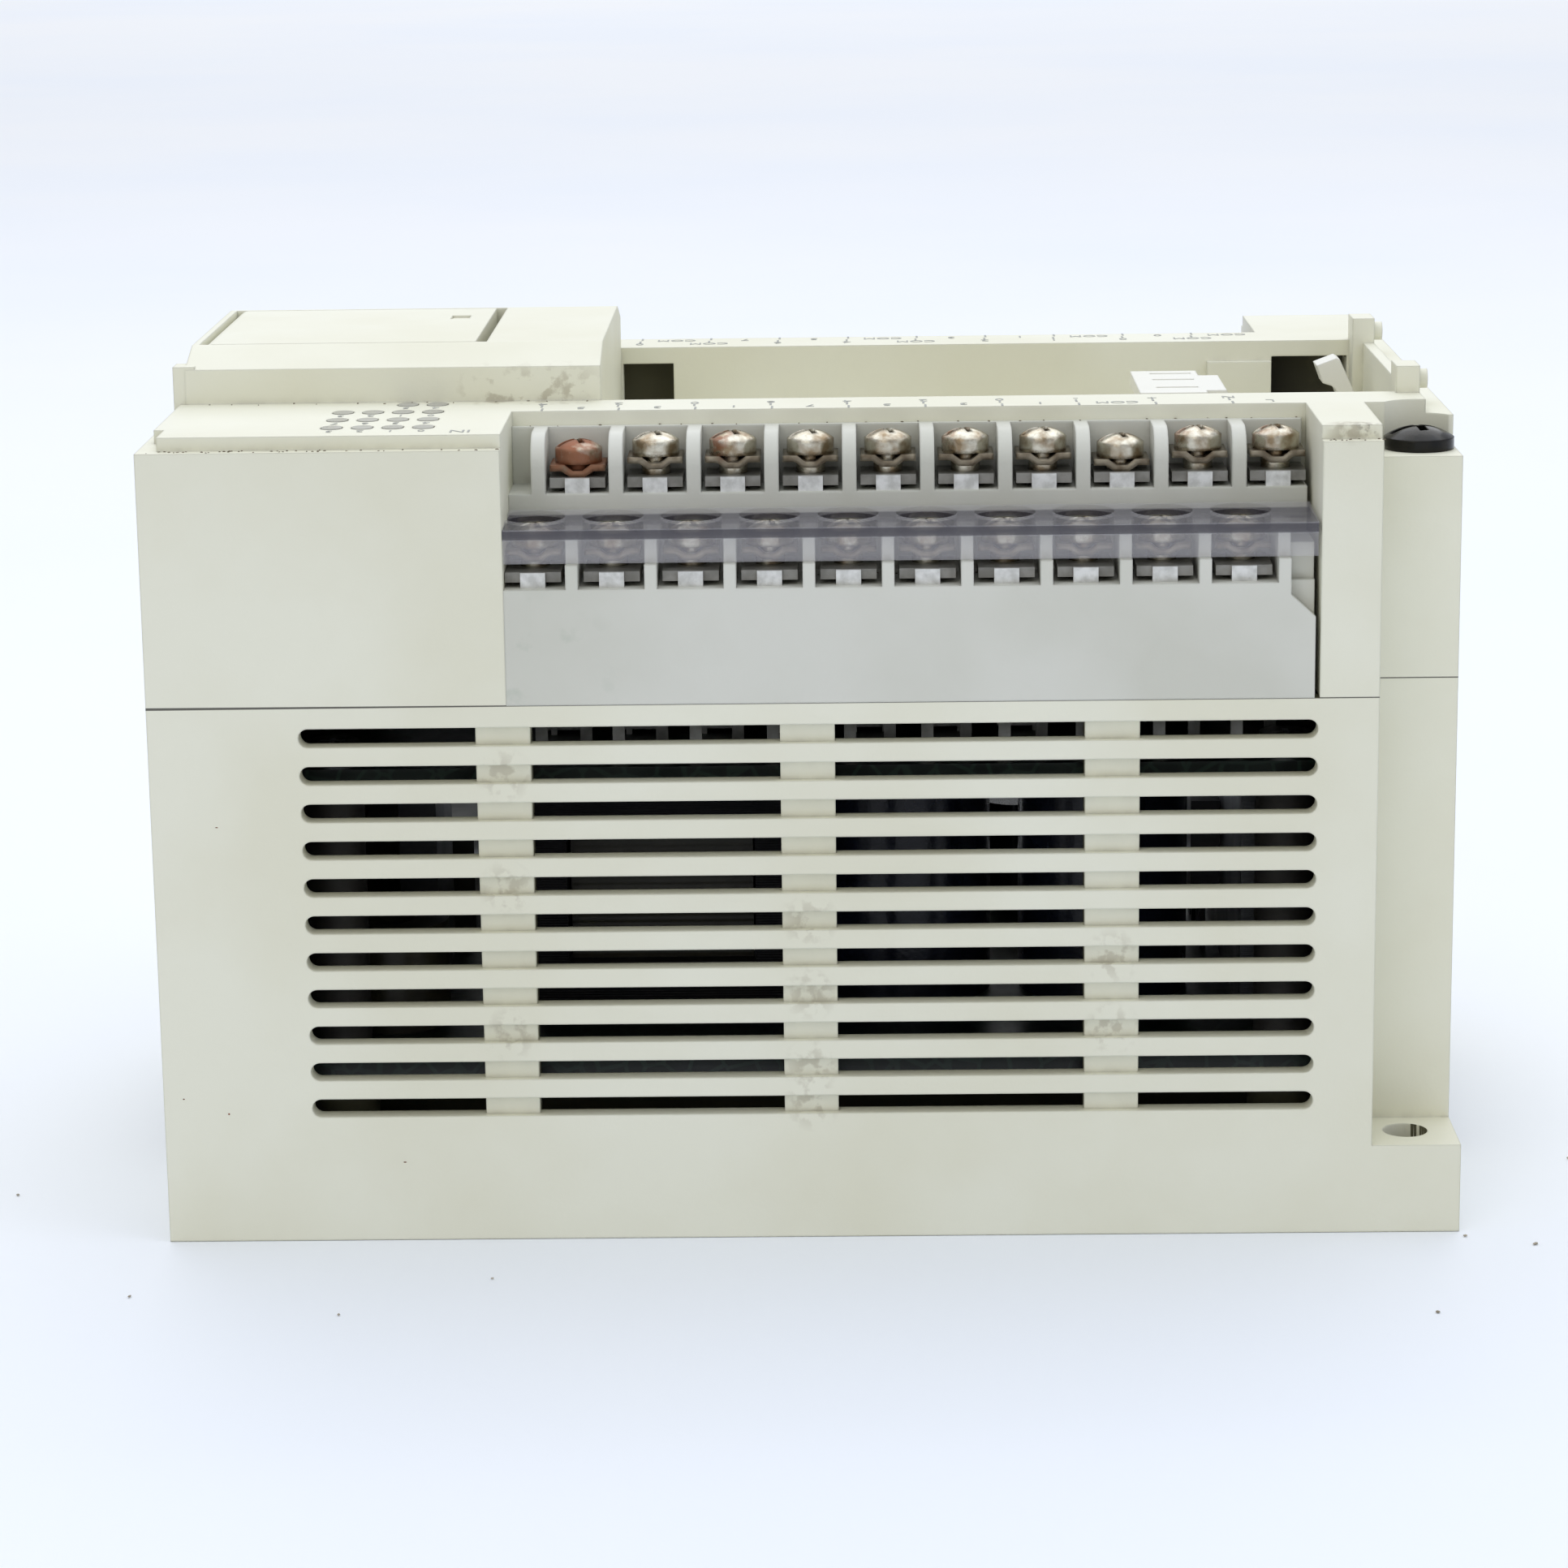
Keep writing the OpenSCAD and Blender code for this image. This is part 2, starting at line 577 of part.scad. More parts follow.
module guard_strip() color(smoke) difference() {
  w = hy - tier_y - 0.2;
  along_x(bay_x0 + 0.05, bay_x1 - 0.3) polygon([[-hy, guard_z - guard_drop], [-hy, guard_z],
    [-hy + w, guard_z + w * guard_slope], [-hy + w, guard_z - guard_t + w * guard_slope],
    [-hy + guard_t, guard_z - guard_t + guard_t * guard_slope], [-hy + guard_t, guard_z - guard_drop]]);
  each_low() cylinder(d = guard_hole_d, h = 12);
}

module input_terminal_block() terminal_block();
module output_terminal_block() output_side() terminal_block();
module input_terminal_plates() terminal_plates();
module output_terminal_plates() output_side() terminal_plates();
module input_clamp_washers() color(nickel) terminal_row(true) clamp_washer();
module output_clamp_washers() color(nickel) output_side() terminal_row(false) clamp_washer();
module input_terminal_screws() color(nickel) terminal_row(true) terminal_screw();
module output_terminal_screws() color(nickel) output_side() terminal_row(false) terminal_screw();
module input_guard_strip() guard_strip();
module output_guard_strip() output_side() guard_strip();

// ---------------------------------------------------------------- screws and spacers
module case_screws() color(black) both_corners() translate([screw_x, -screw_y, 0]) {
  translate([0, 0, seam_z - 18]) cylinder(r = 1.7, h = seat_z - seam_z + 18 + eps, $fn = 24);
  translate([0, 0, seat_z]) difference() {
    rotate_extrude() { square([screw_head_r, screw_head_h * 0.5]); intersection() {
        square([screw_head_r, screw_head_h]);
        translate([0, screw_head_h - 6]) circle(r = 6); } }
    for (a = [0, 90]) rotate([0, 0, a + 10])
      translate([-1.8, -0.45, screw_head_h - 1.3]) cube([3.6, 0.9, 2]);
    rotate([0, 0, 10])
      translate([-screw_head_r, -0.45, screw_head_h - 0.8]) cube([2 * screw_head_r, 0.9, 2]);
  }
}

module each_spacer() for (x = [-1, 1], y = [-1, 1])
  translate([x * (hx - spacer_end), y * (hy - spacer_side), 0]) children();

module board_spacers() color(nickel) each_spacer() difference() {
  union() {
    translate([0, 0, power_top]) cylinder(r = 3, h = io_z - power_top);
    translate([0, 0, 7]) cylinder(r = stud_r, h = power_top - 7 + eps, $fn = 24);
  }
  translate([0, 0, io_z - 8]) cylinder(r = 1.25, h = 9, $fn = 24);
}

module pan_screw(len) {
  translate([0, 0, -len]) cylinder(r = stud_r, h = len + eps, $fn = 24);
  difference() {
    cylinder(r = 2.7, h = 1.8);
    for (a = [0, 90]) rotate([0, 0, a]) translate([-1.3, -0.3, 0.9]) cube([2.6, 0.6, 2]);
  }
}

module each_hanger() for (x = [block_x1 + 4, chan_x1 - 26], y = [-1, 1])
  translate([x, y * 14, 0]) children();

module display_posts() {
  translate([-hx + 7, -hy + 7, 0]) children();
  for (s = [-1, 1]) translate([left_x1 - 3, s * (led_y0 + led_py * 1.5), 0]) children();
}

module board_screws() color(nickel) {
  each_spacer() translate([0, 0, io_top]) pan_screw(7);
  each_hanger() translate([0, 0, main_z]) mirror([0, 0, 1]) pan_screw(hanger_len);
  display_posts() translate([0, 0, display_z]) mirror([0, 0, 1]) pan_screw(4);
}

// ---------------------------------------------------------------- boards
module io_board() color(green) difference() {
  box(-hx + 8, hx - 8 - 3.4, -hy + 5, hy - 5, io_z, io_top);
  both_corners() box(rec_x - wall - 2, hx, -hy, -rec_y + wall + 2, io_z - 1, io_top + 1);
  each_spacer() translate([0, 0, io_z - 1]) cylinder(r = 1.6, h = 4, $fn = 24);
  both_sides() for (i = [0 : term_n - 1]) {
    translate([tier_x(low_x, i), -low_y, 0]) leg_hole();
    translate([tier_x(high_x, i), -high_y, 0]) leg_hole();
  }
}

module leg_hole()
  box(-leg_w / 2 - 0.3, leg_w / 2 + 0.3, leg_y - 0.3, leg_y + leg_t + 0.3, io_z - 1, io_top + 1);

module power_board() color(green) difference() {
  box(-hx + 13, hx - 13, -hy + 7, hy - 7, power_z, power_top);
  each_spacer() translate([0, 0, power_z - 1]) cylinder(r = 1.6, h = 4, $fn = 24);
}

module main_board() color(green) difference() {
  box(block_x0 + 6, chan_x1 - 3, -chan_y + 3, chan_y - 3, main_z, main_top);
  each_hanger() translate([0, 0, main_z - 1]) cylinder(r = 1.6, h = 4, $fn = 24);
}

module display_board() color(green) difference() {
  box(-in_x + 1.8, left_x1 - 0.8, -in_y + 1.6, in_y - 1.6, display_z, display_top);
  box(-hx, -rec_x + wall + 1, bay_y - rail_back - 1, hy, display_z - 1, display_top + 1);
  display_posts() translate([0, 0, display_z - 1]) cylinder(r = 1.6, h = 4, $fn = 24);
}

// posts that the boards hang from, moulded on the upper case
module hanging_posts() {
  each_hanger() difference() {
    translate([0, 0, main_top]) cylinder(r = 3, h = chan_z - main_top - 1);
    translate([0, 0, main_top - 1]) cylinder(r = 1.25, h = 4.4, $fn = 24);
  }
  display_posts() difference() {
    translate([0, 0, display_top]) cylinder(r = 2.2, h = panel_z - display_top - 1);
    translate([0, 0, display_top - 1]) cylinder(r = 1.25, h = 4.6, $fn = 24);
  }
}

module stacking_headers() color(black) {
  box(block_x0 + 12, block_x0 + 30, -12, -7, main_top, display_z);
  box(-4, 26, 13, 16, io_top, main_z);
  box(-44, -40, -12, 6, power_top, io_z);
}

// ---------------------------------------------------------------- electronics
module relays() color(black) for (i = [0 : term_n - 1]) translate([tier_x(low_x, i), 0, io_top]) {
  box(-relay_hw, relay_hw, 18, 25.6, 0, 6.4);
  box(-relay_hw + 0.3, relay_hw - 0.3, 18.4, 25.2, 6.4, 6.8);
}

module optocouplers() color(ivory) for (i = [0 : opto_n - 1])
  translate([tier_x(low_x, i) + 2, -21, io_top]) {
  box(-2.3, 2.3, -3.2, 3.2, 0.4, 3.6);
  for (s = [-1, 1], j = [-1, 1]) box(s * 1.6 - 0.3, s * 1.6 + 0.3, j * 3.4 - 0.4, j * 3.4 + 0.4, 0, 1.4);
}

module chip(x, y, z, lx, ly, pins) translate([x, y, z]) {
  box(-lx / 2, lx / 2, -ly / 2, ly / 2, 0.3, 2);
  for (i = [0 : pins - 1], s = [-1, 1]) translate([-lx / 2 + (i + 0.5) * lx / pins, s * ly / 2, 0])
    box(-0.3, 0.3, -0.8, 0.8, 0, 0.9);
}

module driver_chips() color(black) for (x = [-20, -2, 16, 34]) chip(x, 4, io_top, 12, 6, 7);

module processor_chip() color(black) {
  chip(8, -10, main_top, 10, 10, 12);
  chip(-5, -14, main_top, 6, 5, 4);
}

module transformer_core() color([0.25, 0.25, 0.26]) difference() {
  box(core_x - core_hl, core_x + core_hl, -15, 15, power_top, core_top);
  box(core_x - core_hl + 4, core_x + core_hl - 4, -16, 16, power_top + 4, core_top - 4);
}

module transformer_winding() color([0.85, 0.75, 0.3])
  difference() {
    box(core_x - core_hl + 4.3, core_x + core_hl - 4.3, -13, 13, power_top + 4, core_top - 4);
    for (s = [-1, 1])
      box(core_x - core_hl + 4, core_x + core_hl - 4, s * 13 - 0.8, s * 13 + 0.8,
        power_top + 7, core_top - 7);
  }

module bulk_capacitors() color(blue) {
  for (x = [10, 31]) translate([x, -10, power_top]) {
    cylinder(r = can_r, h = bay_h - 4.9);
    translate([0, 0, bay_h - 4.9]) cylinder(r = can_r - 1, h = 0.4);
  }
  for (x = [12, 23, 34]) translate([x, 26, power_top]) cylinder(r = 4, h = 12);
}

module line_filter() color([0.75, 0.7, 0.2]) {
  box(-50.5, -38, 10, 25, power_top, power_top + 13);
  translate([-44, -22, power_top]) difference() {
    cylinder(r = 6, h = 11);
    translate([0, 0, 3]) cylinder(r = 2.6, h = 9);
  }
}

module fuse_clips() color(nickel) for (x = [-9, 9]) translate([fuse_x + x, fuse_y, power_top]) difference() {
  box(-2, 2, -3.4, 3.4, 0, 6);
  translate([-3, 0, 4.2]) rotate([0, 90, 0]) cylinder(r = fuse_r + run, h = 6, $fn = 32);
  box(-3, 3, -1.8, 1.8, 4.2, 8);
}

module fuse() color(ivory) translate([fuse_x - 12, fuse_y, power_top + 4.2]) rotate([0, 90, 0]) {
  for (x = [0, 18]) translate([0, 0, x]) cylinder(r = fuse_r, h = 6, $fn = 32);
  translate([0, 0, 5.9]) cylinder(r = fuse_r - 0.3, h = 12.3, $fn = 32);
}

module heat_sink() color([0.6, 0.6, 0.62]) {
  box(sink_x, sink_x + 1.4, -24, 24, power_top, core_top + 1);
  for (y = [-20 : 8 : 20]) box(sink_x + 1.4 - eps, sink_x + 5.4, y - 0.6, y + 0.6, power_top, core_top + 1);
}

module power_transistors() color(black) for (y = [6, 18]) {
  box(sink_x - 3.2, sink_x, y - 4, y + 4, power_top + 6, power_top + 17);
  for (j = [-1, 0, 1])
    box(sink_x - 2, sink_x - 1.4, y + j * 2.4 - 0.3, y + j * 2.4 + 0.3, power_top, power_top + 6 + eps);
}

module extension_connector() color(black) difference() {
  box(hinge_x + 4, hinge_x + 25, -5, 5, display_top, display_top + 5);
  box(hinge_x + 5, hinge_x + 24, -4, 4, display_top + 1, display_top + 6);
}

module extension_pins() color([0.8, 0.68, 0.3]) for (i = [0 : 6], s = [-1, 1])
  translate([hinge_x + 6.9 + i * 2.54, s * 1.5, 0])
    box(-0.3, 0.3, -0.3, 0.3, display_top + 1, display_top + 4.6);

module option_connector() color([0.85, 0.82, 0.7]) difference() {
  box(block_x1 + 19, block_x1 + 41, -3, 3, main_top, chan_z + 3);
  box(block_x1 + 20, block_x1 + 40, -2, 2, main_top + 2, chan_z + 4);
}

module programming_port() color(black) translate([port_pos[0], port_pos[1], 0]) {
  translate([0, 0, main_top]) difference() {
    cylinder(r = 4.6, h = 7.4);
    for (a = [0 : 45 : 315]) rotate([0, 0, a]) translate([2.9, 0, 3]) cylinder(r = 0.45, h = 6, $fn = 16);
    translate([-1.1, -0.6, 3]) cube([2.2, 1.2, 6]);
  }
  translate([0, 0, main_top]) difference() {
    cylinder(r = 6.4, h = 2);
    translate([0, 0, -1]) cylinder(r = 4.4, h = 4);
  }
}

module port_shell() color(nickel) translate([port_pos[0], port_pos[1], main_top + 2]) difference() {
  cylinder(r = 6.2, h = 7.6);
  translate([0, 0, -1]) cylinder(r = 5.5, h = 10);
  for (a = [90, 210, 330]) rotate([0, 0, a]) translate([5, -0.9, 5]) cube([2, 1.8, 4]);
}

module switch_body() color(black) translate([switch_pos[0], switch_pos[1], 0]) difference() {
  box(-5, 5, -2.5, 2.5, main_top, chan_z + 1.2);
  box(-3.6, 3.6, -1.4, 1.4, chan_z - 1.4, chan_z + 2);
}

module switch_lever() color([0.9, 0.9, 0.86]) translate([switch_pos[0], switch_pos[1], 0]) {
  box(-3.5, -0.1, -1.3, 1.3, chan_z - 1.4, chan_z + 1.2);
  box(-2.8, -0.8, -1, 1, chan_z + 1.2, chan_z + 3.6);
}

module trim_pot_bodies() color(blue) for (s = [-1, 1]) translate([pot_x, s * pot_y, 0]) difference() {
  intersection() {
    box(-3.3, 3.3, -3.3, 3.3, main_top, chan_z + 0.4);
    cylinder(r = 3.4, h = 200);
  }
  translate([0, 0, main_top + 1.5]) cylinder(r = 2.3 + run, h = 10);
}

module trim_rotor() color([0.9, 0.88, 0.8]) difference() {
  translate([0, 0, main_top + 1.5]) cylinder(r = 2.3, h = chan_z + 0.7 - main_top - 1.5);
  translate([-1.8, -0.35, chan_z - 0.3]) cube([3.6, 0.7, 2]);
}

module trim_rotor_a() translate([pot_x, -pot_y, 0]) trim_rotor();
module trim_rotor_b() translate([pot_x, pot_y, 0]) trim_rotor();

// ---------------------------------------------------------------- channel levers
module ribbed_latch() color(ivory) translate([latch_hinge[0], 0, 0]) difference() {
  union() {
    box(-8, -0.9, -7.4, 9.6, latch_z - 1.5, latch_z);
    along_y(-5.8, 5.8) polygon([[-2, latch_z - 2], [-1.2, latch_z], [1.2, latch_z], [2.6, latch_z - 3.4],
      [1.2, latch_z - 3.4], [1.2, chan_z + 3], [-1.2, chan_z + 3], [-1.2, latch_z - 2]]);
    translate([0, 5.8, chan_z + 3]) rotate([90, 0, 0]) cylinder(r = 1.5, h = 11.6, $fn = 24);
  }
  for (y = [-3.2, 2.8, 7.5]) box(-6, -1.6, y - 0.35, y + 0.35, latch_z - 0.6, latch_z + 1);
  translate([0, 10, chan_z + 3]) rotate([90, 0, 0]) cylinder(r = 0.6 + run, h = 20, $fn = 24);
}

module hook_lever() color(ivory) translate([hook_hinge[0], hook_y, hook_hinge[1]]) difference() {
  top = panel_z - chan_z - 3.4;
  union() {
    along_y(0.2, 4) polygon([[-1.3, 0], [1.2, 0.3], [0.7, top - 5.7], [-0.25, top - 3.3],
      [-1.65, top - 0.2], [-2.06, top], [-4.2, top - 0.8], [-3.5, top - 2.7], [-2.55, top - 3],
      [-2.1, top - 3.4], [-1.1, top - 6]]);
    translate([0, 4, 0]) rotate([90, 0, 0]) cylinder(r = 1.5, h = 3.8, $fn = 24);
  }
  translate([0, 10, 0]) rotate([90, 0, 0]) cylinder(r = 0.6 + run, h = 20, $fn = 24);
}

module channel_pins() color(nickel) {
  translate([latch_hinge[0], 7.8, chan_z + 3]) rotate([90, 0, 0]) cylinder(r = 0.6, h = 15.6, $fn = 24);
  translate([hook_hinge[0], hook_y + 5.8, chan_z + 3]) rotate([90, 0, 0])
    cylinder(r = 0.6, h = 7.6, $fn = 24);
}

// ---------------------------------------------------------------- drawing
base_shell();
upper_case();
port_lid();
din_clip();
input_terminal_block();
output_terminal_block();
input_terminal_plates();
output_terminal_plates();
input_clamp_washers();
output_clamp_washers();
input_terminal_screws();
output_terminal_screws();
input_guard_strip();
output_guard_strip();
case_screws();
input_lights();
output_lights();
status_lights();
display_board();
main_board();
io_board();
power_board();
board_spacers();
board_screws();
stacking_headers();
relays();
optocouplers();
driver_chips();
processor_chip();
transformer_core();
transformer_winding();
bulk_capacitors();
line_filter();
fuse();
fuse_clips();
heat_sink();
power_transistors();
extension_connector();
extension_pins();
option_connector();
programming_port();
port_shell();
switch_body();
switch_lever();
trim_pot_bodies();
trim_rotor_a();
trim_rotor_b();
ribbed_latch();
hook_lever();
channel_pins();
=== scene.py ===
"""Finishes, printed marks and wear of a compact controller module with two terminal bays."""

import math

import bmesh
import bpy
from mathutils import Matrix, Vector
from mathutils.bvhtree import BVHTree


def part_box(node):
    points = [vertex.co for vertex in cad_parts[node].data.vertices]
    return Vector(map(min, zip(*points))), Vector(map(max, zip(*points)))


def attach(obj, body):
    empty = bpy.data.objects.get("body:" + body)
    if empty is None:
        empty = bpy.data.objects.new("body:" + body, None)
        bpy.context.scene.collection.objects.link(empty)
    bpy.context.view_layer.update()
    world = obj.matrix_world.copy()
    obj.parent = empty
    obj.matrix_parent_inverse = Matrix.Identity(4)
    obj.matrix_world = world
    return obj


bl_info = {
    "name": "Controller module finish",
    "version": (1, 0, 0),
    "blender": (4, 5, 0),
    "location": "View3D > Sidebar > Module",
    "description": "Finishes, printed marks and wear of a compact controller module",
    "category": "Object",
}

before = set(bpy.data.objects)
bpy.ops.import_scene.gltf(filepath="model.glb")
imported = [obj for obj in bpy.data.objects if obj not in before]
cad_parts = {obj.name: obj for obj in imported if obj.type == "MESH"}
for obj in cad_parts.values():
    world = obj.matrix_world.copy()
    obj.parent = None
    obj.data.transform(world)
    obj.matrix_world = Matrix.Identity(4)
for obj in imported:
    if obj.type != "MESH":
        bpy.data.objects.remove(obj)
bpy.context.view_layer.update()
MM = 0.001
PRINT_T = 0.02 * MM  # thickness of printed ink


# ---------------------------------------------------------------- colours
def linear(code):
    """Linear RGBA of an sRGB hex colour."""
    parts = [int(code[i : i + 2], 16) / 255 for i in (1, 3, 5)]
    return tuple(c / 12.92 if c <= 0.04045 else ((c + 0.055) / 1.055) ** 2.4 for c in parts) + (1.0,)


def colour(name, code, description):
    """A colour property that starts at an sRGB hex value."""
    return bpy.props.FloatVectorProperty(
        name=name, description=description, subtype="COLOR", size=4, min=0, max=1, default=linear(code)
    )


def length(name, millimetres, description):
    """A length property in metres that starts at a size in millimetres."""
    return bpy.props.FloatProperty(
        name=name, description=description, default=millimetres * MM, min=0, precision=5, subtype="DISTANCE"
    )


class ModuleColours(bpy.types.PropertyGroup):
    """Colours of the module's main finishes."""

    case: colour("Case", "#E9E8D6", "Warm ivory of the moulded case")
    case_aged: colour("Aged case", "#E3E1CC", "Yellower patches of the case")
    block: colour("Terminal block", "#D6D6CC", "Cool grey of the terminal blocks")
    block_aged: colour("Aged block", "#CCCCC0", "Duller patches of the terminal blocks")
    guard: colour("Guard", "#CFCDD1", "Smoke tint of the finger guards")
    ink: colour("Ink", "#9C9D98", "Grey of the printed legends")
    # the finishes also paint this brown into the corners, as dirt and painted shade
    dust: colour("Dust", "#5D4F3B", "Brown dust in the corners")
    rust: colour("Rust", "#8A4B22", "Rust of the small spots")
    floor: colour("Floor", "#F3F5F8", "Pale floor under the module")


class ModuleSizes(bpy.types.PropertyGroup):
    """Sizes of the printed marks and of the wear."""

    digit: length("Digit height", 1.1, "Height of the digits beside the indicator windows")
    legend: length("Legend height", 1.35, "Height of the terminal legends")
    tick_w: length("Tick width", 0.22, "Width of the marks between the terminals")
    tick_l: length("Tick length", 1.5, "Length of the marks between the terminals")
    speck: length("Speck size", 0.15, "Half width of a grain of dust")
    rust_spot: length("Rust spot", 0.24, "Half width of a rust spot")
    solder: length("Solder", 1.0, "Radius of a solder joint")
    edge: length("Edge radius", 0.3, "Radius that the moulded edges show")
    grain: length("Grain", 0.4, "Spacing of the moulded texture")


# ---------------------------------------------------------------- shader building
def add(tree, kind, links=None, **settings):
    """Adds one node, sets what it is, and links or fills its sockets."""
    node = tree.nodes.new(kind)
    for key, value in settings.items():
        setattr(node, key, value)
    for socket, value in (links or {}).items():
        if isinstance(value, bpy.types.NodeSocket):
            tree.links.new(value, node.inputs[socket])
        else:
            node.inputs[socket].default_value = value
    return node


MIX_A, MIX_B, MIX_OUT = 6, 7, 2


def finish(
    name, base, second, patch=0.025, rough=0.5, rough_spread=0.06, metallic=0.0, grain=0.0004,
    relief=0.0, edge=0.0, grime=None, specks=None, spots=(), seam=None, veil=None, traces=None, rings=None, **shader
):
    """One procedural material.

    base and second are mixed in soft patches. grime is (colour, reach, amount): dirt and painted shade in the corners,
    specks is (colour, spacing, radius), each of spots is (centre, radius, colour, amount),
    seam is (height, colour, half width at the left, half width at the right, amount): a dark line that is a real joint
    on the case and painted shade on the guards, veil is how much of the light a clear part stops, away from that dark
    line and on it, traces is (colour, spacing), and rings is the spacing of fine lines.
    """
    material = bpy.data.materials.new(name)
    material.use_nodes = True
    material.diffuse_color = base
    tree = material.node_tree
    tree.nodes.clear()
    place = add(tree, "ShaderNodeTexCoord").outputs["Object"]
    cloud = add(tree, "ShaderNodeTexNoise", {"Vector": place, "Scale": 1 / patch, "Detail": 4.0}).outputs[0]
    share = add(tree, "ShaderNodeMapRange", {0: cloud, 1: 0.38, 2: 0.64}).outputs[0]
    shade = add(tree, "ShaderNodeMix", {0: share, MIX_A: base, MIX_B: second}, data_type="RGBA").outputs[MIX_OUT]
    bare = None  # how far a metal's plating is gone
    if traces:
        cells = add(
            tree, "ShaderNodeTexVoronoi", {"Vector": place, "Scale": 1 / traces[1]},
            feature="DISTANCE_TO_EDGE",
        ).outputs[0]
        line = add(tree, "ShaderNodeMapRange", {0: cells, 1: 0.05, 2: 0.09, 3: 1.0, 4: 0.0}).outputs[0]
        shade = add(
            tree, "ShaderNodeMix", {0: line, MIX_A: shade, MIX_B: traces[0]}, data_type="RGBA"
        ).outputs[MIX_OUT]
    if specks:
        cells = add(tree, "ShaderNodeTexVoronoi", {"Vector": place, "Scale": 1 / specks[1]}).outputs[0]
        reach = specks[2] / specks[1]
        dot = add(tree, "ShaderNodeMapRange", {0: cells, 1: reach * 0.6, 2: reach, 3: 0.8, 4: 0.0}).outputs[0]
        shade = add(
            tree, "ShaderNodeMix", {0: dot, MIX_A: shade, MIX_B: specks[0]}, data_type="RGBA"
        ).outputs[MIX_OUT]
    for centre, radius, tint, amount in spots:
        away = add(tree, "ShaderNodeVectorMath", {0: place, 1: centre}, operation="DISTANCE").outputs[1]
        near = add(
            tree, "ShaderNodeMapRange", {0: away, 1: radius * 0.35, 2: radius, 3: amount, 4: 0.0}
        ).outputs[0]
        rough_cloud = add(
            tree, "ShaderNodeTexNoise", {"Vector": place, "Scale": 2.2 / radius, "Detail": 6.0}
        ).outputs[0]
        torn = add(tree, "ShaderNodeMapRange", {0: rough_cloud, 1: 0.66 - 0.3 * amount, 2: 0.7 - 0.2 * amount})
        mask = add(
            tree, "ShaderNodeMath", {0: near, 1: torn.outputs[0]}, operation="MULTIPLY", use_clamp=True
        ).outputs[0]
        shade = add(
            tree, "ShaderNodeMix", {0: mask, MIX_A: shade, MIX_B: tint}, data_type="RGBA"
        ).outputs[MIX_OUT]
        bare = mask if bare is None else add(
            tree, "ShaderNodeMath", {0: bare, 1: mask}, operation="MAXIMUM"
        ).outputs[0]
    if grime:
        # dirt and painted shade: corners and hollows that ambient occlusion finds are darkened towards the tint,
        # broken up by a fine noise
        tint, reach, amount = grime
        closed = add(
            tree, "ShaderNodeAmbientOcclusion", {"Distance": reach}, samples=6, only_local=True
        ).outputs["AO"]
        corner = add(tree, "ShaderNodeMapRange", {0: closed, 1: 0.25, 2: 0.72, 3: amount, 4: 0.0}).outputs[0]
        film = add(tree, "ShaderNodeTexNoise", {"Vector": place, "Scale": 450.0, "Detail": 6.0}).outputs[0]
        film = add(tree, "ShaderNodeMapRange", {0: film, 1: 0.35, 2: 0.6}).outputs[0]
        mask = add(tree, "ShaderNodeMath", {0: corner, 1: film}, operation="MULTIPLY").outputs[0]
        shade = add(
            tree, "ShaderNodeMix", {0: mask, MIX_A: shade, MIX_B: tint}, data_type="RGBA"
        ).outputs[MIX_OUT]
    if seam:
        # a dark line at one height: the open joint on the case, and painted shade along the bend on the guards
        height, tint, left, right, amount = seam
        split = add(tree, "ShaderNodeSeparateXYZ", {0: place})
        off = add(tree, "ShaderNodeMath", {0: split.outputs[2], 1: height}, operation="SUBTRACT").outputs[0]
        off = add(tree, "ShaderNodeMath", {0: off}, operation="ABSOLUTE").outputs[0]
        gap = add(
            tree, "ShaderNodeMapRange",
            {0: split.outputs[0], 1: -0.064, 2: -0.026, 3: left, 4: right},
        ).outputs[0]
        ratio = add(tree, "ShaderNodeMath", {0: off, 1: gap}, operation="DIVIDE").outputs[0]
        mask = add(tree, "ShaderNodeMapRange", {0: ratio, 1: 0.8, 2: 1.1, 3: amount, 4: 0.0}).outputs[0]
        shade = add(
            tree, "ShaderNodeMix", {0: mask, MIX_A: shade, MIX_B: tint}, data_type="RGBA"
        ).outputs[MIX_OUT]
    sockets = {"Base Color": shade, "Metallic": metallic, **shader}
    if veil:
        sockets["Alpha"] = add(
            tree, "ShaderNodeMapRange", {0: mask, 1: 0.0, 2: 0.95, 3: veil[0], 4: veil[1]}
        ).outputs[0]
    if rough_spread:
        sockets["Roughness"] = add(
            tree, "ShaderNodeMapRange", {0: cloud, 1: 0.3, 2: 0.7, 3: rough - rough_spread, 4: rough + rough_spread}
        ).outputs[0]
        if metallic and bare is not None:
            sockets["Roughness"] = add(
                tree, "ShaderNodeMapRange", {0: bare, 3: rough, 4: rough + 0.25}
            ).outputs[0]
            sockets["Metallic"] = add(tree, "ShaderNodeMapRange", {0: bare, 3: metallic, 4: 0.55}).outputs[0]
    else:
        sockets["Roughness"] = rough
    normal = None
    if edge:
        normal = add(tree, "ShaderNodeBevel", {"Radius": edge}, samples=6).outputs[0]
    if relief:
        if rings:
            away = add(tree, "ShaderNodeMapping", {"Vector": place, "Scale": (1 / rings,) * 3}).outputs[0]
            height = add(
                tree, "ShaderNodeTexWave", {"Vector": away, "Scale": 1.0, "Distortion": 0.4}, bands_direction="Z"
            ).outputs[1]
        else:
            height = add(
                tree, "ShaderNodeTexNoise", {"Vector": place, "Scale": 1 / grain, "Detail": 2.0}
            ).outputs[0]
        links = {"Height": height, "Distance": relief, "Strength": 1.0}
        if normal is not None:
            links["Normal"] = normal
        normal = add(tree, "ShaderNodeBump", links).outputs[0]
    if normal is not None:
        sockets["Normal"] = normal
    principled = add(tree, "ShaderNodeBsdfPrincipled", sockets)
    add(tree, "ShaderNodeOutputMaterial", {"Surface": principled.outputs[0]})
    return material


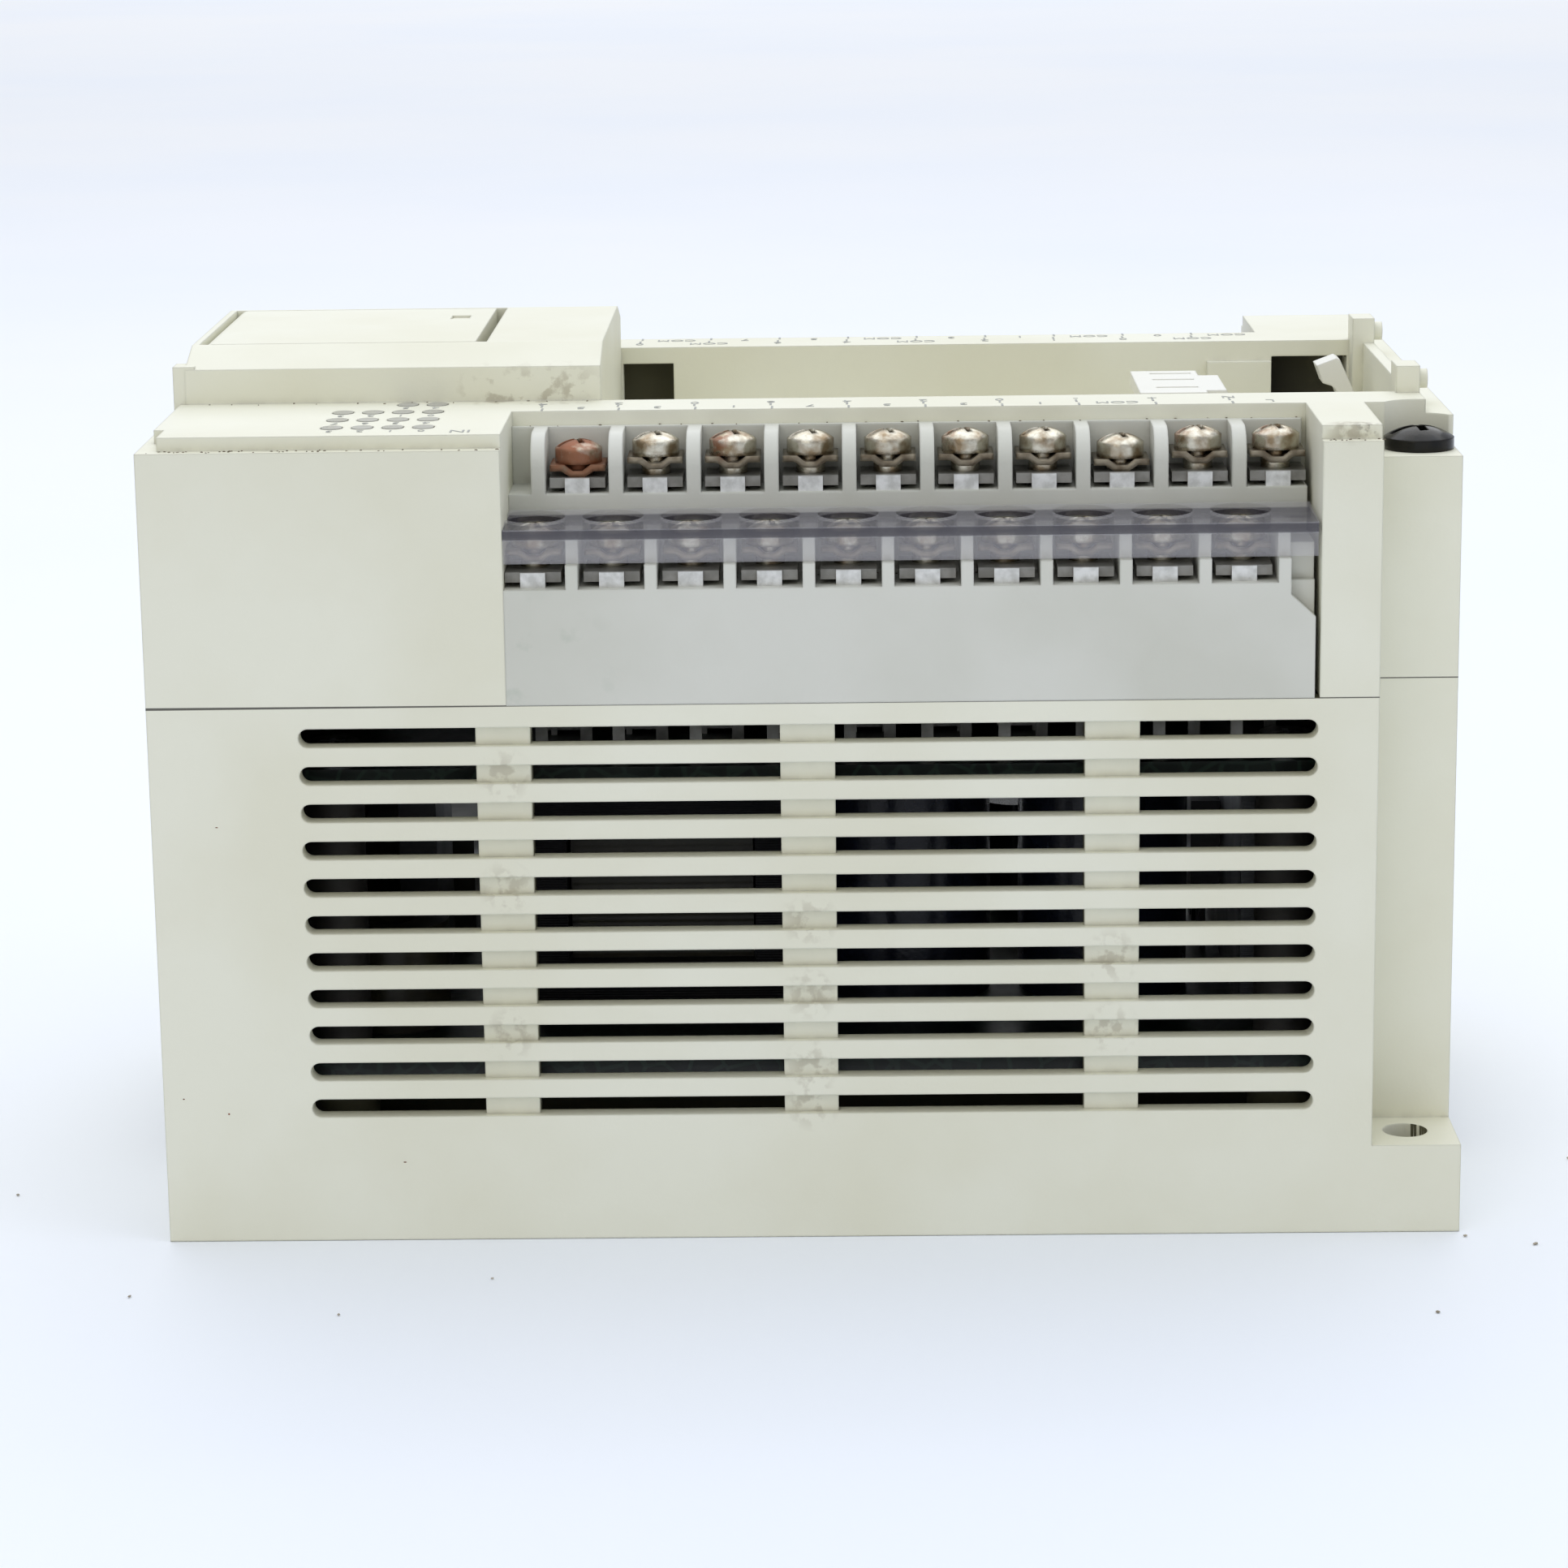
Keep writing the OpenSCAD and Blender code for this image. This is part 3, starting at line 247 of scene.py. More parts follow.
def dress(node, *materials, pick=None):
    """Gives a CAD node its finishes. pick(face) says which of them a face takes."""
    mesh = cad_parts[node].data
    mesh.materials.clear()
    for material in materials:
        mesh.materials.append(material)
    if pick:
        for face in mesh.polygons:
            face.material_index = pick(face)


def islands(node):
    """Lowest and highest corner of each solid of a CAD node, ordered along X."""
    work = bmesh.new()
    work.from_mesh(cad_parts[node].data)
    bmesh.ops.remove_doubles(work, verts=work.verts, dist=1e-6)
    seen, boxes = set(), []
    for start in work.verts:
        if start in seen:
            continue
        seen.add(start)
        group, edge_of = [start], [start]
        while edge_of:
            vert = edge_of.pop()
            for link in vert.link_edges:
                other = link.other_vert(vert)
                if other not in seen:
                    seen.add(other)
                    group.append(other)
                    edge_of.append(other)
        low = Vector(min(v.co[k] for v in group) for k in range(3))
        high = Vector(max(v.co[k] for v in group) for k in range(3))
        boxes.append((low, high))
    work.free()
    return sorted(boxes, key=lambda b: (b[0] + b[1]).x)


def middle(box):
    return (box[0] + box[1]) / 2


def in_terminal_bay(point):
    """Whether a point is in, or on a wall of, the bay that holds a terminal block."""
    along = BAY[0].x - 0.2 * MM < point.x < BAY[1].x + 1 * MM
    return along and abs(point.y) > RAIL_OUTER_ABS - 0.1 * MM and point.z > SEAM_Z


def closed_in(*nodes):
    """Says whether a face sees nothing but the inner walls of these nodes."""
    verts, faces = [], []
    for node in nodes:
        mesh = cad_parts[node].data
        faces += [[len(verts) + k for k in face.vertices] for face in mesh.polygons]
        verts += [v.co.copy() for v in mesh.vertices]
    walls = BVHTree.FromPolygons(verts, faces)
    rays = []
    for k in range(RAYS):
        height = (k + 0.5) / RAYS
        flat, turn = math.sqrt(1 - height * height), k * GOLDEN_ANGLE
        rays.append(Vector((flat * math.cos(turn), flat * math.sin(turn), height)))

    def pick(face):
        if in_terminal_bay(face.center):
            return 0
        tilt = Vector((0, 0, 1)).rotation_difference(face.normal)
        start = face.center + face.normal * 0.02 * MM
        out = sum(walls.ray_cast(start, tilt @ ray)[0] is None for ray in rays)
        return int(out < 0.14 * RAYS)

    return pick


# ---------------------------------------------------------------- geometry nodes
def new_tree(name, sockets):
    """An empty geometry tree with named inputs, and its two end nodes."""
    tree = bpy.data.node_groups.new(name, "GeometryNodeTree")
    tree.interface.new_socket("Geometry", in_out="INPUT", socket_type="NodeSocketGeometry")
    tree.interface.new_socket("Geometry", in_out="OUTPUT", socket_type="NodeSocketGeometry")
    for label, kind in sockets:
        tree.interface.new_socket(label, in_out="INPUT", socket_type=kind)
    return tree, add(tree, "NodeGroupInput"), add(tree, "NodeGroupOutput")


def close_tree(tree, start, end, instances):
    """Ends a tree: real geometry with its material."""
    real = add(tree, "GeometryNodeRealizeInstances", {0: instances}).outputs[0]
    painted = add(
        tree, "GeometryNodeSetMaterial", {"Geometry": real, "Material": start.outputs["Material"]}
    ).outputs[0]
    tree.links.new(painted, end.inputs[0])
    return tree


def bar_tree():
    """A flat bar of one size on every point."""
    tree, start, end = new_tree("Printed bars", [("Size", "NodeSocketVector"), ("Material", "NodeSocketMaterial")])
    bar = add(tree, "GeometryNodeMeshCube", {"Size": start.outputs["Size"]}).outputs[0]
    bars = add(
        tree, "GeometryNodeInstanceOnPoints", {"Points": start.outputs[0], "Instance": bar}
    ).outputs[0]
    return close_tree(tree, start, end, bars)


def grain_tree():
    """Uneven flat grains on every point, turned and sized at random with a fixed seed."""
    tree, start, end = new_tree(
        "Scattered grains",
        [("Size", "NodeSocketFloat"), ("Spread", "NodeSocketVector"), ("Seed", "NodeSocketInt"),
         ("Material", "NodeSocketMaterial")],
    )
    seed = start.outputs["Seed"]
    back = add(tree, "ShaderNodeVectorMath", {0: start.outputs["Spread"], 1: (-1, -1, -1)}, operation="MULTIPLY")
    drift = add(
        tree, "FunctionNodeRandomValue",
        {0: back.outputs[0], 1: start.outputs["Spread"], "Seed": seed}, data_type="FLOAT_VECTOR",
    ).outputs[0]
    moved = add(tree, "GeometryNodeSetPosition", {"Geometry": start.outputs[0], "Offset": drift}).outputs[0]
    ball = add(tree, "GeometryNodeMeshIcoSphere", {"Radius": 1.0, "Subdivisions": 2}).outputs[0]
    dent = add(tree, "ShaderNodeTexNoise", {"Scale": 1.6, "Detail": 1.0}).outputs[1]
    dent = add(tree, "ShaderNodeVectorMath", {0: dent, 1: (0.5, 0.5, 0.5)}, operation="SUBTRACT").outputs[0]
    dent = add(tree, "ShaderNodeVectorMath", {0: dent, 1: (1.6, 1.6, 0.8)}, operation="MULTIPLY").outputs[0]
    grain = add(tree, "GeometryNodeSetPosition", {"Geometry": ball, "Offset": dent}).outputs[0]
    turn = add(
        tree, "FunctionNodeRandomValue", {0: (0, 0, 0), 1: (0, 0, 6.28), "Seed": seed}, data_type="FLOAT_VECTOR"
    ).outputs[0]
    scale = add(
        tree, "FunctionNodeRandomValue", {0: (0.35, 0.3, 0.16), 1: (1.25, 0.95, 0.4), "Seed": seed},
        data_type="FLOAT_VECTOR",
    ).outputs[0]
    scale = add(tree, "ShaderNodeVectorMath", {0: scale, 3: start.outputs["Size"]}, operation="SCALE").outputs[0]
    grains = add(
        tree, "GeometryNodeInstanceOnPoints",
        {"Points": moved, "Instance": grain, "Rotation": turn, "Scale": scale},
    ).outputs[0]
    return close_tree(tree, start, end, grains)


def dome_tree():
    """A low dome on every point."""
    tree, start, end = new_tree("Solder domes", [("Radius", "NodeSocketFloat"), ("Material", "NodeSocketMaterial")])
    ball = add(
        tree, "GeometryNodeMeshUVSphere", {"Segments": 12, "Rings": 8, "Radius": start.outputs["Radius"]}
    ).outputs[0]
    domes = add(
        tree, "GeometryNodeInstanceOnPoints",
        {"Points": start.outputs[0], "Instance": ball, "Scale": (1.0, 1.0, 0.55)},
    ).outputs[0]
    return close_tree(tree, start, end, domes)


def grow(name, tree, points, body, **inputs):
    """Runs a geometry tree over points and keeps the result as a plain mesh that rides on a body."""
    seeds = bpy.data.meshes.new(name + "_points")
    seeds.from_pydata([tuple(p) for p in points], [], [])
    carrier = bpy.data.objects.new(name + "_carrier", seeds)
    bpy.context.scene.collection.objects.link(carrier)
    modifier = carrier.modifiers.new("Grow", "NODES")
    modifier.node_group = tree
    for item in tree.interface.items_tree:
        key = item.name.lower()
        if item.in_out == "INPUT" and key in inputs:
            modifier[item.identifier] = inputs[key]
    grown = carrier.evaluated_get(bpy.context.evaluated_depsgraph_get())
    mesh = bpy.data.meshes.new_from_object(grown)
    carrier.modifiers.remove(modifier)
    bpy.data.objects.remove(carrier)
    if not mesh.polygons:
        raise RuntimeError(f"{name}: the tree gave no faces")
    piece = bpy.data.objects.new(name, mesh)
    bpy.context.scene.collection.objects.link(piece)
    if not mesh.materials:
        mesh.materials.append(inputs["material"])
    if body:
        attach(piece, body)
    return piece


def lettering(name, words, body, material):
    """Raised ink letters, each of words being (text, centre, height). They read from the output side."""
    join = bmesh.new()
    for text, centre, height in words:
        curve = bpy.data.curves.new("letters", "FONT")
        curve.body = text
        curve.size = height / 0.7
        curve.align_x, curve.align_y = "CENTER", "CENTER"
        curve.extrude = PRINT_T
        curve.resolution_u = 3
        letters = bpy.data.objects.new("letters", curve)
        bpy.context.scene.collection.objects.link(letters)
        mesh = bpy.data.meshes.new_from_object(letters.evaluated_get(bpy.context.evaluated_depsgraph_get()))
        mesh.transform(Matrix.Translation(centre) @ Matrix.Rotation(math.pi, 4, "Z"))
        join.from_mesh(mesh)
        bpy.data.objects.remove(letters)
        bpy.data.curves.remove(curve)
        bpy.data.meshes.remove(mesh)
    bmesh.ops.remove_doubles(join, verts=join.verts, dist=1e-7)
    mesh = bpy.data.meshes.new(name)
    join.to_mesh(mesh)
    join.free()
    mesh.materials.append(material)
    piece = bpy.data.objects.new(name, mesh)
    bpy.context.scene.collection.objects.link(piece)
    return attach(piece, body)


# ---------------------------------------------------------------- places on the module
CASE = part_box("upper_case")
PANEL_Z = max(b[1].z for b in islands("input_lights"))
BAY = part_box("input_terminal_block")
RAIL_INNER = 20.58 * MM
RAIL_OUTER = -BAY[1].y
RAIL_OUTER_ABS = abs(RAIL_OUTER)
SEAM_Z = CASE[0].z
RAYS = 28
GOLDEN_ANGLE = 2.39996


def at(x, y, z):
    """A point given in millimetres."""
    return (x * MM, y * MM, z * MM)


def screw_rows(node):
    """The terminal screws of one side as a lower and an upper row, ordered along X."""
    boxes = islands(node)
    split = sum(abs(middle(b).y) for b in boxes) / len(boxes)
    return [b for b in boxes if abs(middle(b).y) > split], [b for b in boxes if abs(middle(b).y) <= split]


class ModuleOperator:
    """What the operators share."""

    bl_options = {"REGISTER", "UNDO"}

    @staticmethod
    def props(context):
        return context.scene.module_colours, context.scene.module_sizes


class MODULE_OT_case_finish(ModuleOperator, bpy.types.Operator):
    """Paint the shells, lid, clip and levers as aged moulded plastic"""

    bl_idname = "module.case_finish"
    bl_label = "Case finish"

    def execute(self, context):
        c, s = self.props(context)
        smudge = linear("#B5AE98")
        # ABS from a spark-eroded tool: fine matt grain, soft edges, warm patches, brown dust and painted shade in the
        # corners
        case = dict(
            base=c.case[:], second=c.case_aged[:], rough=0.5, grain=s.grain, relief=0.012 * MM, edge=s.edge,
            # the joint stands open at the left end and closes towards the middle
            grime=(c.dust[:], 1.6 * MM, 0.35), seam=(SEAM_Z, linear("#2B2822"), 0.14 * MM, 0.06 * MM, 0.85),
        )
        wear = [
            *((at(x, -20.6, 82.6), 3.4 * MM, smudge, 0.45) for x in (-33, -30.5, -28, -25.5, -23.5)),
            (at(53, -43.2, 81.6), 2.6 * MM, smudge, 0.8),
            (at(54.5, -43.2, 81.6), 1.8 * MM, c.dust[:], 0.5),
        ]
        upper = finish("Moulded ABS, ivory, upper case", spots=wear, **case)
        rib_smudges = ((-30, 48), (-30, 36.5), (-30, 21.5), (0, 33), (0, 25.5), (0, 18), (0, 14), (30, 29), (30, 21.5))
        stain = [(at(x, -44, z), 3.2 * MM, smudge, 0.55) for x, z in rib_smudges]
        stain += [(at(x, 44, z - 3.8), 3.2 * MM, smudge, 0.5) for x, z in rib_smudges]
        base = finish("Moulded ABS, ivory, base", spots=stain, **case)
        # the insides: painted shade, a dark finish with a near black painted shadow inside the output side
        inside = finish(
            "Moulded ABS, painted shade inside", linear("#6A6750"), linear("#57543F"), rough=0.8, relief=0.01 * MM,
            spots=[(at(46, 22, 74), 18 * MM, linear("#1E1D19"), 1.0)],
        )
        # faces that see nothing but inner walls take the painted shade of the insides
        pick = closed_in("upper_case", "base_shell", "input_terminal_block", "output_terminal_block")
        dress("upper_case", upper, inside, pick=pick)
        dress("base_shell", base, inside, pick=pick)
        # the same plastic on small pieces, with no seam
        small = dict(case, seam=None, grime=(c.dust[:], 0.8 * MM, 0.25))
        dress("port_lid", finish("Moulded ABS, ivory, lid", **small))
        dress("din_clip", finish("Moulded POM, ivory, clip", **dict(small, rough=0.38)))
        # acetal levers: whiter and a little glossier than the case
        lever = dict(
            base=linear("#F1F0E6"), second=linear("#E9E7DA"), rough=0.36, grain=s.grain, relief=0.004 * MM,
            edge=s.edge, grime=(c.dust[:], 0.6 * MM, 0.3),
        )
        white = finish("Moulded acetal, white, levers", **lever)
        for node in ("ribbed_latch", "hook_lever"):
            dress(node, white)
        # machined steel cross-head screws, black oxide with an oil film
        dress("case_screws", finish(
            "Black oxide steel, case screws", linear("#1A1A19"), linear("#26241F"), patch=2 * MM, rough=0.24,
            metallic=0.7, relief=0.01 * MM, grain=0.6 * MM, edge=0.2 * MM,
        ))
        # smoked acrylic light pipes with a satin face
        lens = finish(
            "Moulded acrylic, smoke, light pipes", linear("#A09F99"), linear("#ABAAA3"), patch=3 * MM, rough=0.3,
            **{"IOR": 1.49, "Coat Weight": 0.3},
        )
        for node in ("input_lights", "output_lights", "status_lights"):
            dress(node, lens)
        return {"FINISHED"}


def bright_lips(plates, sign):
    """Says whether a face is on the narrow lip at the front of a contact plate."""
    fronts = [(middle(b).x, b[0].y if sign < 0 else b[1].y) for b in plates]

    def pick(face):
        return int(any(
            abs(face.center.x - x) < 1.25 * MM and 0 <= -sign * (face.center.y - y) < 0.9 * MM for x, y in fronts
        ))

    return pick


class MODULE_OT_terminal_finish(ModuleOperator, bpy.types.Operator):
    """Paint the terminal blocks, guards, plates, washers and screws"""

    bl_idname = "module.terminal_finish"
    bl_label = "Terminal finish"

    def execute(self, context):
        c, s = self.props(context)
        # glass filled PBT: cooler and duller than the case, with dust specks, and brown dust and painted shade in its
        # corners
        block = dict(
            base=c.block[:], second=c.block_aged[:], rough=0.52, grain=s.grain, relief=0.01 * MM, edge=s.edge,
            grime=(c.dust[:], 1.8 * MM, 0.5), specks=(linear("#5B5549"), 9 * MM, 0.22 * MM),
        )
        damp = [(at(-26, -45, 58), 9 * MM, linear("#A9B3A2"), 0.35), (at(-29, -44, 70), 3 * MM, c.dust[:], 0.5)]
        dress("input_terminal_block", finish("Moulded PBT, grey, input block", spots=damp, **block))
        dress("output_terminal_block", finish("Moulded PBT, grey, output block", **block))
        # injection moulded polycarbonate: clear smoke tint, polished, faint flow lines
        guard = finish(
            "Moulded polycarbonate, smoke, guards", c.guard[:], linear("#D6D4D8"), rough=0.07, rough_spread=0.03,
            relief=0.01 * MM, grain=3 * MM,
            # painted shade: a dark band along the bend, which is also made nearly opaque there
            seam=(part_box("input_guard_strip")[0].z + 2.8 * MM, linear("#322F38"), 0.5 * MM, 0.5 * MM, 0.95),
            veil=(0.2, 0.8), **{"IOR": 1.585},
        )
        for side in ("input", "output"):
            dress(side + "_guard_strip", guard)
        # nickel plated steel: bright domes, brown stains where the plating has gone, and brown dirt with painted shade
        # in the hollows
        copper, brown = linear("#8F5A3C"), linear("#4A3526")
        nickel = dict(
            base=linear("#CFCAB9"), second=linear("#8E7C62"), patch=1.5 * MM, rough=0.25, rough_spread=0.08,
            metallic=1.0, relief=0.06 * MM, grain=1.0 * MM, edge=0.6 * MM,
            grime=(brown, 1.1 * MM, 0.9),
        )
        for side in ("input", "output"):
            low, high = screw_rows(side + "_terminal_screws")
            worn = []
            if side == "input":
                top = [middle(b) + Vector((0, 0, (b[1].z - b[0].z) / 2 - 1.2 * MM)) for b in high]
                worn = [(tuple(top[0]), 6 * MM, copper, 1.0), (tuple(top[2] + Vector((-1.4 * MM, -1 * MM, 0))), 2.4 * MM, copper, 0.8)]
                worn += [(tuple(top[k] + Vector((-1.2 * MM, 0, 0))), 2.2 * MM, copper, 0.7) for k in (5, 8, 9)]
            dress(side + "_terminal_screws", finish(f"Nickel plated steel, {side} screws", spots=worn, **nickel))
            # stamped saddle washers, duller than the screws
            tarnish = dict(nickel, base=linear("#938A78"), second=linear("#6B6050"), rough=0.33)
            dress(side + "_clamp_washers", finish(f"Nickel plated steel, {side} washers", spots=worn[:2], **tarnish))
            # tinned brass contact plates: the front lip is painted brighter as a painted highlight, and the rest
            # darker as painted shade
            dull = dict(rough=0.4, metallic=0.35, relief=0.01 * MM, grain=0.5 * MM, grime=(brown, 0.8 * MM, 0.7))
            dress(
                side + "_terminal_plates",
                finish(f"Tinned brass in painted shade, {side} plates", linear("#94928B"), linear("#7C7A73"), patch=2 * MM, **dull),
                finish(
                    f"Tin with painted highlight, {side} lips", linear("#E4E4E0"), linear("#C9C9C4"), patch=1 * MM, rough=0.35,
                    metallic=0.4, relief=0.02 * MM, grain=0.4 * MM,
                ),
                pick=bright_lips(islands(side + "_terminal_plates"), -1 if side == "input" else 1),
            )
        return {"FINISHED"}


# inner and channel pieces: nodes, name, colours, and how the surface was made
FITTINGS = (
    # the boards, spacers, relays, transformer and capacitors keep their hue but are darker than their own colours:
    # painted shade for the inside of the closed case
    (("display_board", "main_board", "io_board", "power_board"), "Glass epoxy, green solder mask",
     "#131C17", "#1A261F", dict(rough=0.34, traces=("#27372E", 2.6), relief=0.01, grain=0.5)),
    # the spacers' bright zinc is painted a near black grey: painted shade
    (("board_spacers",), "Zinc plated steel, spacers in painted shade",
     "#403E3A", "#34322F", dict(rough=0.6, metallic=0.3, relief=0.01)),
    (("port_shell", "channel_pins"), "Nickel plated brass, turned",
     "#A39C8B", "#857D6C", dict(rough=0.3, metallic=1.0, relief=0.01, rings=0.6)),
    (("board_screws",), "Zinc plated steel, pan screws",
     "#B9BABB", "#9FA1A4", dict(rough=0.32, metallic=1.0, relief=0.01)),
    (("stacking_headers", "extension_connector"), "Moulded nylon, black, headers",
     "#1B1B1C", "#232324", dict(rough=0.5, relief=0.01)),
    # relays darker than their own colour: painted shade
    (("relays",), "Moulded PBT, slate, relays", "#26292A", "#303333", dict(rough=0.45, relief=0.01)),
    (("optocouplers",), "Moulded epoxy, white, couplers", "#DEDDD6", "#CFCDC4", dict(rough=0.5, relief=0.01)),
    (("driver_chips", "processor_chip", "power_transistors"), "Moulded epoxy, black, chips",
     "#161617", "#202021", dict(rough=0.42, relief=0.015)),
    # core, winding and capacitors darker than their own colours: painted shade
    (("transformer_core",), "Laminated iron, varnished",
     "#1E1E20", "#29282A", dict(rough=0.4, metallic=0.6, relief=0.04, rings=0.9)),
    (("transformer_winding",), "Varnished paper tape, olive", "#3A3723", "#302D1C", dict(rough=0.35, relief=0.02, rings=2.2)),
    (("bulk_capacitors",), "Shrink sleeve, dark blue", "#0F1422", "#151B2C", dict(rough=0.22, relief=0.02)),
    (("line_filter",), "Potted film box, olive", "#3B3825", "#312E1F", dict(rough=0.38, relief=0.01)),
    (("fuse",), "Blown glass, fuse tube", "#CFD6D4", "#BFC8C4", dict(rough=0.08, relief=0.01)),
    (("fuse_clips",), "Tinned bronze, fuse clips", "#C8C1B0", "#AFA68F", dict(rough=0.3, metallic=1.0, relief=0.01)),
    (("heat_sink",), "Extruded aluminium, natural", "#77797B", "#66686A", dict(rough=0.36, metallic=1.0, relief=0.02, rings=0.7)),
    (("extension_pins",), "Gold flashed bronze, pins", "#D8B65A", "#C49F45", dict(rough=0.25, metallic=1.0, relief=0.005)),
    (("option_connector",), "Moulded nylon, natural, socket", "#DCD7C2", "#CFC9B1", dict(rough=0.45, relief=0.01)),
    (("programming_port", "switch_body"), "Moulded nylon, black, channel sockets",
     "#191919", "#242424", dict(rough=0.46, relief=0.01)),
    (("switch_lever",), "Moulded acetal, off-white, lever", "#E6E4DA", "#DAD7CB", dict(rough=0.35, relief=0.005)),
    (("trim_pot_bodies",), "Moulded polyester, blue, trimmers", "#2D5AA6", "#264E94", dict(rough=0.4, relief=0.01)),
    (("trim_rotor_a", "trim_rotor_b"), "Moulded nylon, white, rotors", "#E9E8E2", "#DCDAD0", dict(rough=0.4, relief=0.01)),
)


class MODULE_OT_fitting_finish(ModuleOperator, bpy.types.Operator):
    """Paint the boards, their components and the fittings in the channel"""

    bl_idname = "module.fitting_finish"
    bl_label = "Fitting finish"

    def execute(self, context):
        for nodes, name, first, second, how in FITTINGS:
            how = dict(how)
            for key in ("relief", "grain", "rings"):
                if key in how:
                    how[key] *= MM
            if "traces" in how:
                how["traces"] = (linear(how["traces"][0]), how["traces"][1] * MM)
            material = finish(name, linear(first), linear(second), patch=6 * MM, **how)
            for node in nodes:
                dress(node, material)
        return {"FINISHED"}


def ink_of(c):
    """Pad printed ink: matt, its grey varying in small patches."""
    return finish("Pad printed ink, grey", c.ink[:], linear("#B0B1AA"), patch=0.6 * MM, rough=0.7)


class MODULE_OT_terminal_legends(ModuleOperator, bpy.types.Operator):
    """Print the marks and legends of both terminal rows"""

    bl_idname = "module.terminal_legends"
    bl_label = "Terminal legends"

    # read from the output side, from right to left along X
    inputs_high = ("L", "", "COM", "1", "3", "5", "7", "1", "3", "5")
    inputs_low = ("N", "+", "-", "0", "2", "4", "6", "0", "2", "4")
    outputs_high = ("COM", "0", "COM", "1", "3", "COM", "5", "7", "COM", "1")
    outputs_low = ("COM", "0", "1", "2", "COM", "4", "6", "COM", "0", "")

    def execute(self, context):
        c, s = self.props(context)
        ink = ink_of(c)
        ticks, words = [], []
        z = PANEL_Z - 0.05 * MM + PRINT_T
        for side, sign, high_words, low_words in (
            ("input", -1, self.inputs_high, self.inputs_low), ("output", 1, self.outputs_high, self.outputs_low),
        ):
            low, high = screw_rows(side + "_terminal_screws")
            pitch = middle(high[1]).x - middle(high[0]).x
            edge_y, inner_y = sign * RAIL_OUTER, sign * RAIL_INNER
            near, far = edge_y + (inner_y - edge_y) * 0.24, edge_y + (inner_y - edge_y) * 0.62
            for row, texts, y in ((high, high_words, near), (low, low_words, far)):
                for text, box in zip(texts, reversed(row)):
                    words.append((text, Vector((middle(box).x, y, z)), s.legend))
            # short bars between the near legends, and long ones that lead to the far legends
            for box in high:
                ticks.append((middle(box).x - pitch / 2, edge_y - sign * (s.tick_l / 2 + 0.1 * MM), z))
            for box in low:
                ticks.append((middle(box).x, edge_y + (inner_y - edge_y) * 0.42, z))
        bars = grow(
            "terminal_marks", bar_tree(), ticks, "case",
            size=(s.tick_w, s.tick_l, 2 * PRINT_T), material=ink,
        )
        text = lettering("terminal_legends", [w for w in words if w[0]], "case", ink)
        return {"FINISHED"}


class MODULE_OT_indicator_legends(ModuleOperator, bpy.types.Operator):
    """Print the digits and words beside the indicator windows"""

    bl_idname = "module.indicator_legends"
    bl_label = "Indicator legends"

    status_words = ("POWER", "RUN", "BATT", "ERROR")

    def execute(self, context):
        c, s = self.props(context)
        z = PANEL_Z - 0.05 * MM + PRINT_T
        words = []
        for node in ("input_lights", "output_lights"):
            spots = sorted((middle(b) for b in islands(node)), key=lambda p: (round(p.y, 4), -round(p.x, 4)))
            for k, spot in enumerate(spots):
                words.append((str(k % 8), Vector((spot.x, spot.y - 2.5 * MM, z)), s.digit))
        for word, box in zip(self.status_words, sorted(islands("status_lights"), key=lambda b: b[0].y)):
            spot = middle(box)
            words.append((word, Vector((spot.x - 1 * MM, spot.y - 2.5 * MM, z)), s.digit * 0.8))
        words.append(("IN", Vector((*at(-33.6, -41.2, 0)[:2], z)), s.digit * 1.4))
        words.append(("OUT", Vector((*at(-33.9, 26.2, 0)[:2], z)), s.digit * 1.4))
        lettering("indicator_legends", words, "case", ink_of(c))
        return {"FINISHED"}


class MODULE_OT_wear(ModuleOperator, bpy.types.Operator):
    """Scatter dust along the ledges and rust spots on the faces"""

    bl_idname = "module.wear"
    bl_label = "Dust and rust spots"

    def execute(self, context):
        c, s = self.props(context)
        tree = grain_tree()
        # loose brown dust, dry and matt
        dust = finish("Settled dust, brown", c.dust[:], linear("#8B7F6A"), patch=1 * MM, rough=0.9)
        ledges = [  # start, end, count in millimetres
            ((-63.5, -44.2, 80.33), (-46, -44.2, 80.33), 34), ((-46, -44.2, 80.33), (-30, -44.2, 80.33), 9),
            ((-29, -28.3, 80.25), (50, -28.3, 80.25), 26), ((50.6, -44.2, 80.33), (55.6, -44.2, 80.33), 12),
            ((-29, -38, 66.55), (49, -38, 66.55), 30), ((-29, -30, 74.45), (49, -30, 74.45), 26),
            ((-20.4, -19.5, 68.05), (60, -19.5, 68.05), 22), ((-20.4, 19.5, 68.05), (43, 19.5, 68.05), 12),
            ((-62, -21.3, 81.7), (-22, -21.3, 81.7), 14), ((56.5, -33, 77.33), (62, -26, 77.33), 10),
        ]
        points = []
        for start, end, count in ledges:
            a, b = Vector(at(*start)), Vector(at(*end))
            points += [a.lerp(b, (k + 0.5) / count) for k in range(count)]
        pile = grow(
            "ledge_dust", tree, points, "case", size=s.speck, spread=at(1.2, 0.55, 0), seed=4, material=dust
        )
        # rust bloom, round and orange brown
        rust = finish("Iron rust, bloomed", c.rust[:], linear("#5E3216"), patch=0.4 * MM, rough=0.85)
        face = CASE[0].y
        places = [(-58.5, 43.0), (-58.5, 13.4), (-41, 8.2), (-63, 15)]
        spots = grow(
            "rust_spots", tree, [(x * MM, face, z * MM) for x, z in places], "case",
            size=s.rust_spot, spread=at(0, 0, 0), seed=9, material=rust,
        )
        for vert in spots.data.vertices:
            vert.co.y = face + 0.12 * (vert.co.y - face)
        return {"FINISHED"}


